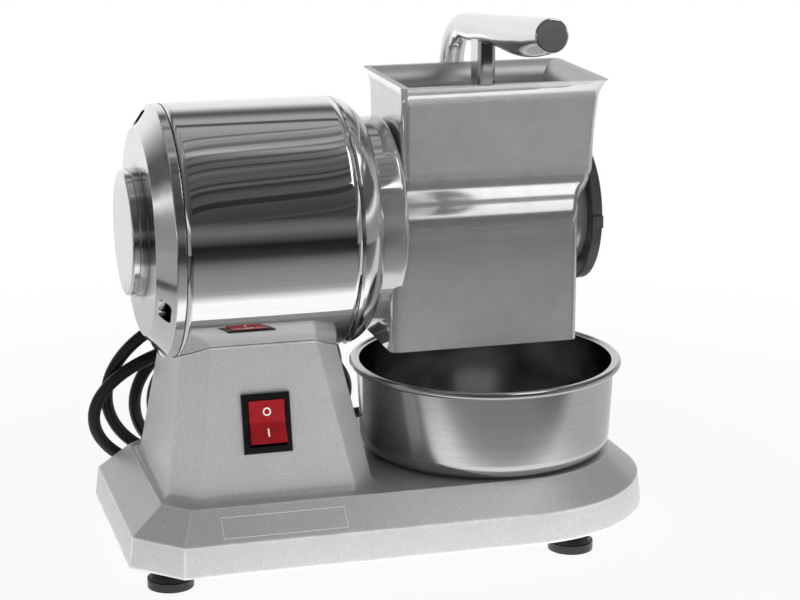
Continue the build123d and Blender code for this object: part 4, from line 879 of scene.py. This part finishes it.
# Places in mm, angles in degrees
CAP_HEAD_X = -121.4
CAP_SCREW_CIRCLE = 58.8
CAP_SCREW_ANGLES = (102, -30, 216)
GLAND_RIB_COUNT = 6
GLAND_RIB_START = 90
GLAND_RIB_PITCH = 3.2
PLUG_RIB_COUNT = 5
PLUG_RIB_START = 107
PLUG_RIB_PITCH = 3
ALONG_X = (0, math.pi / 2, 0)
ALONG_Y = (math.pi / 2, 0, 0)
rib_tree = make_rib_tree()
socket_shade_tree = make_socket_shade_tree()
# Painted shade: dark plates on the rear cap's screw heads stand for the hollows of their sockets
repeated(
    "cap_screw_sockets", socket_shade_tree,
    [about_motor(CAP_HEAD_X, CAP_SCREW_CIRCLE, math.radians(angle)) for angle in CAP_SCREW_ANGLES],
    seal_rubber, False, Socket_Radius=0.0016, Socket_Depth=0.0001, Sides=6, Turn=ALONG_X,
)
repeated(
    "gland_ribs", rib_tree,
    [mm(LEAD[0][0], GLAND_RIB_START + GLAND_RIB_PITCH * k, LEAD[0][2]) for k in range(GLAND_RIB_COUNT)],
    seal_rubber, True,
    Rib_Thickness=0.1, First_Radius=0.0062, Last_Radius=0.0051, Rib_Count=GLAND_RIB_COUNT, Turn=ALONG_Y,
)
repeated(
    "plug_ribs", rib_tree,
    [mm(PLUG_RIB_START + PLUG_RIB_PITCH * k, TAIL[-1][1], TAIL[-1][2]) for k in range(PLUG_RIB_COUNT)],
    plug_rubber, True,
    Rib_Thickness=0.09, First_Radius=0.0069, Last_Radius=0.0096, Rib_Count=PLUG_RIB_COUNT, Turn=ALONG_X,
)


# Stage

FLOOR_RADIUS = 1.0
FLOOR_WHITE = (0.9, 0.9, 0.9, 1)
WHITE = (1, 1, 1, 1)
# How strongly the lit table throws light up, and its share from left to right: (x in m, share)
TABLE_LIGHT = 2.75
TABLE_ACROSS = [(-0.35, 0.42), (-0.05, 1.0), (0.08, 1.0), (0.2, 0.6)]
ACROSS_SHIFT = 0.5
# How bright polished metal shows the table, over its depth in front of the object: (y in mm, value)
TABLE_DEPTH = 800
TABLE_IN_METAL = [
    (-800, 0.03), (-650, 0.06), (-530, 0.14), (-400, 0.24), (-310, 0.29),
    (-220, 0.33), (-190, 0.45), (-165, 0.9), (-152, 1.2),
]
# The same from the left end to the right: (x in m, share), and behind the object: (y in m, share)
TABLE_ENDS = [
    (-0.6, 0.32), (-0.475, 0.3), (-0.46, 0.05), (-0.425, 0.05), (-0.41, 0.34), (-0.3, 0.45),
    (-0.19, 0.52), (-0.1, 1.0), (0.14, 1.0), (0.24, 0.55),
]
ENDS_SHIFT = 0.6
TABLE_BEHIND = [(0.25, 0.0), (0.6, 0.7)]
# The table's shade near the object, fading into the white background: (distance in m, share)
TABLE_FADE = [(0.25, 0.93), (0.6, 1.0)]
# The room in polished metal, by the angle from the front horizon over the top to the back: (degrees, value)
STUDIO_BANDS = [
    (-180, 0.95), (-130, 0.8), (-60, 0.25), (-25, 0.05), (-14, 0.03), (-5, 0.015), (1, 0.1), (7, 0.17),
    (12, 0.14), (17, 0.06), (30, 0.07), (50, 0.1), (70, 0.12), (78, 0.2), (83, 0.42), (87, 0.32),
    (100, 0.32), (112, 0.42), (115, 0.4), (117, 0.05), (119, 0.09), (121, 0.45), (126, 0.42), (130, 0.26),
    (134, 0.12), (138, 0.12), (142, 0.28), (148, 0.7), (154, 0.95), (180, 1.0),
]
# Where slanting rafters bar it: (degrees, share), and how their noise turns into light: (noise, value)
RAFTER_BANDS = [(12, 0.0), (22, 1.0), (104, 0.8), (114, 0.0)]
RAFTER_LINES = [(0.38, 0.4), (0.46, 0.95), (0.56, 1.0), (0.7, 1.4)]
RAFTER_PITCH = 62.0
RAFTER_SLANT = 17.0
# The room's sides in polished metal, by height: (z of the direction, value)
SIDE_BANDS = [
    (-1.0, 0.5), (-0.05, 0.3), (0.06, 0.32), (0.12, 0.7), (0.16, 1.1),
    (0.2, 0.5), (0.26, 0.1), (0.6, 0.12), (1.0, 0.3),
]
# How far to the side a direction points before it shows the sides: (x of the direction, share)
SIDE_SHARE = [(0.45, 0.0), (0.8, 1.0)]
SOFT_LIGHT = (0.24, 0.24, 0.24, 1)


def thrown_light(tree, path, x):
    # The lit table throws light up at the painted base
    thrown = add_node(tree, "ShaderNodeEmission")
    unseen = math_node(tree, "SUBTRACT", 1.0, path["Is Camera Ray"])
    share = math_node(tree, "MULTIPLY", unseen, shifted_ramp(tree, x, ACROSS_SHIFT, TABLE_ACROSS))
    tree.links.new(math_node(tree, "MULTIPLY", share, TABLE_LIGHT), thrown.inputs["Strength"])
    return thrown.outputs[0]


def table_glow(tree, path, x, y):
    # Polished metal shows the table white near the object and dim towards the room in front
    pocket_shade = math_node(tree, "ADD", math_node(tree, "DIVIDE", y, TABLE_DEPTH * 0.001), 1.0)
    mirrored = ramp_node(tree, pocket_shade, [(place / TABLE_DEPTH + 1, value) for place, value in TABLE_IN_METAL])
    ends = shifted_ramp(tree, x, ENDS_SHIFT, TABLE_ENDS)
    ends = math_node(tree, "MAXIMUM", ends, ramp_node(tree, y, TABLE_BEHIND))
    dimmed = mix_colours(tree, mirrored, ends, blend_type="MULTIPLY")
    glow = add_node(tree, "ShaderNodeEmission")
    tree.links.new(mix_colours(tree, WHITE, dimmed, path["Is Glossy Ray"]), glow.inputs["Color"])
    return glow.outputs[0]


def floor_material():
    material = bpy.data.materials.new("floor_white")
    material.use_nodes = True
    tree = material.node_tree
    table = tree.nodes["Principled BSDF"]
    set_input(table, "Base Color", FLOOR_WHITE)
    set_input(table, "Roughness", 0.6)
    path = add_node(tree, "ShaderNodeLightPath").outputs
    place = add_node(tree, "ShaderNodeTexCoord").outputs["Object"]
    x, y, _ = split_xyz(tree, place)
    lit = add_node(tree, "ShaderNodeAddShader")
    tree.links.new(table.outputs[0], lit.inputs[0])
    tree.links.new(thrown_light(tree, path, x), lit.inputs[1])
    length = add_node(tree, "ShaderNodeVectorMath", operation="LENGTH")
    tree.links.new(place, length.inputs[0])
    fade = ramp_node(tree, length.outputs["Value"], TABLE_FADE)
    seen = math_node(tree, "MAXIMUM", path["Is Camera Ray"], path["Is Transmission Ray"])
    seen = math_node(tree, "MAXIMUM", math_node(tree, "MULTIPLY", seen, fade), path["Is Glossy Ray"])
    mix = add_node(tree, "ShaderNodeMixShader")
    tree.links.new(seen, mix.inputs[0])
    tree.links.new(lit.outputs[0], mix.inputs[1])
    tree.links.new(table_glow(tree, path, x, y), mix.inputs[2])
    tree.links.new(mix.outputs[0], tree.nodes["Material Output"].inputs["Surface"])
    return material


def make_floor():
    bm = bmesh.new()
    bmesh.ops.create_circle(bm, cap_ends=True, segments=128, radius=FLOOR_RADIUS)
    mesh = bpy.data.meshes.new("floor")
    bm.to_mesh(mesh)
    bm.free()
    mesh.materials.append(floor_material())
    floor = bpy.data.objects.new("floor", mesh)
    scene.collection.objects.link(floor)


def by_angle(stops):
    return [((degrees + 180) / 360, value) for degrees, value in stops]


def room_in_metal(tree, x, y, z):
    # Bands over the top with slanting rafters, and the room's walls at the sides
    angle = math_node(tree, "ARCTAN2", z, math_node(tree, "MULTIPLY", y, -1.0))
    share = math_node(tree, "ADD", math_node(tree, "DIVIDE", angle, 2 * math.pi), 0.5)
    pitch = math_node(tree, "MULTIPLY", share, RAFTER_PITCH)
    slant = math_node(tree, "MULTIPLY", x, RAFTER_SLANT)
    rafters = add_node(tree, "ShaderNodeTexNoise", noise_dimensions="1D")
    set_input(rafters, "Scale", 1.0)
    set_input(rafters, "Detail", 3.0)
    tree.links.new(math_node(tree, "SUBTRACT", pitch, slant), rafters.inputs["W"])
    lines = ramp_node(tree, rafters.outputs[0], RAFTER_LINES)
    bands = ramp_node(tree, share, by_angle(STUDIO_BANDS))
    overhead = ramp_node(tree, share, by_angle(RAFTER_BANDS))
    barred = mix_colours(tree, bands, lines, overhead, "MULTIPLY")
    height = math_node(tree, "ADD", math_node(tree, "MULTIPLY", z, 0.5), 0.5)
    walls = ramp_node(tree, height, [((up + 1) / 2, value) for up, value in SIDE_BANDS])
    side = ramp_node(tree, math_node(tree, "ABSOLUTE", x), SIDE_SHARE)
    return mix_colours(tree, barred, walls, side)


def background(tree, colour):
    made = add_node(tree, "ShaderNodeBackground")
    if isinstance(colour, tuple):
        set_input(made, "Color", colour)
    else:
        tree.links.new(colour, made.inputs["Color"])
    return made.outputs[0]


def mix_backgrounds(tree, share, a, b):
    made = add_node(tree, "ShaderNodeMixShader")
    for socket, source in zip(made.inputs, (share, a, b)):
        tree.links.new(source, socket)
    return made.outputs[0]


def make_world():
    # Soft light on the object, white to the camera, the room's bands to polished metal
    world = bpy.data.worlds.new("studio")
    scene.world = world
    world.use_nodes = True
    tree = world.node_tree
    tree.nodes.clear()
    direction = add_node(tree, "ShaderNodeTexCoord").outputs["Generated"]
    room = background(tree, room_in_metal(tree, *split_xyz(tree, direction)))
    path = add_node(tree, "ShaderNodeLightPath").outputs
    soft = mix_backgrounds(tree, path["Is Glossy Ray"], background(tree, SOFT_LIGHT), room)
    seen = math_node(tree, "MAXIMUM", path["Is Camera Ray"], path["Is Transmission Ray"])
    out = add_node(tree, "ShaderNodeOutputWorld")
    tree.links.new(mix_backgrounds(tree, seen, soft, background(tree, WHITE)), out.inputs["Surface"])


def area_light(name, place, target, size, power, mirrored=False):
    # A mirrored lamp shows in polished metal and not to the camera
    data = bpy.data.lights.new(name, "AREA")
    data.shape = "RECTANGLE"
    data.size, data.size_y = size
    data.energy = power
    lamp = bpy.data.objects.new(name, data)
    scene.collection.objects.link(lamp)
    lamp.location = place
    lamp.rotation_mode = "QUATERNION"
    lamp.rotation_quaternion = (Vector(target) - Vector(place)).to_track_quat("-Z", "Y")
    lamp.visible_glossy = mirrored
    lamp.visible_camera = not mirrored


make_floor()
make_world()
area_light("key", place=(0.2, -1.5, 0.3), target=(0, 0, 0.1), size=(1.2, 0.4), power=1.2)
area_light("left_fill", place=(-1.3, 0.1, 0.3), target=(0, 0, 0.1), size=(0.8, 0.5), power=1.6)
area_light("right_fill", place=(0.9, -0.25, 0.12), target=(0.13, -0.05, 0.03), size=(0.3, 0.12), power=0.8)
area_light(
    "hopper_strip", place=(0.28, -0.285, 0.64), target=(0.28, -0.285, 0), size=(0.26, 0.41), power=0.52,
    mirrored=True,
)
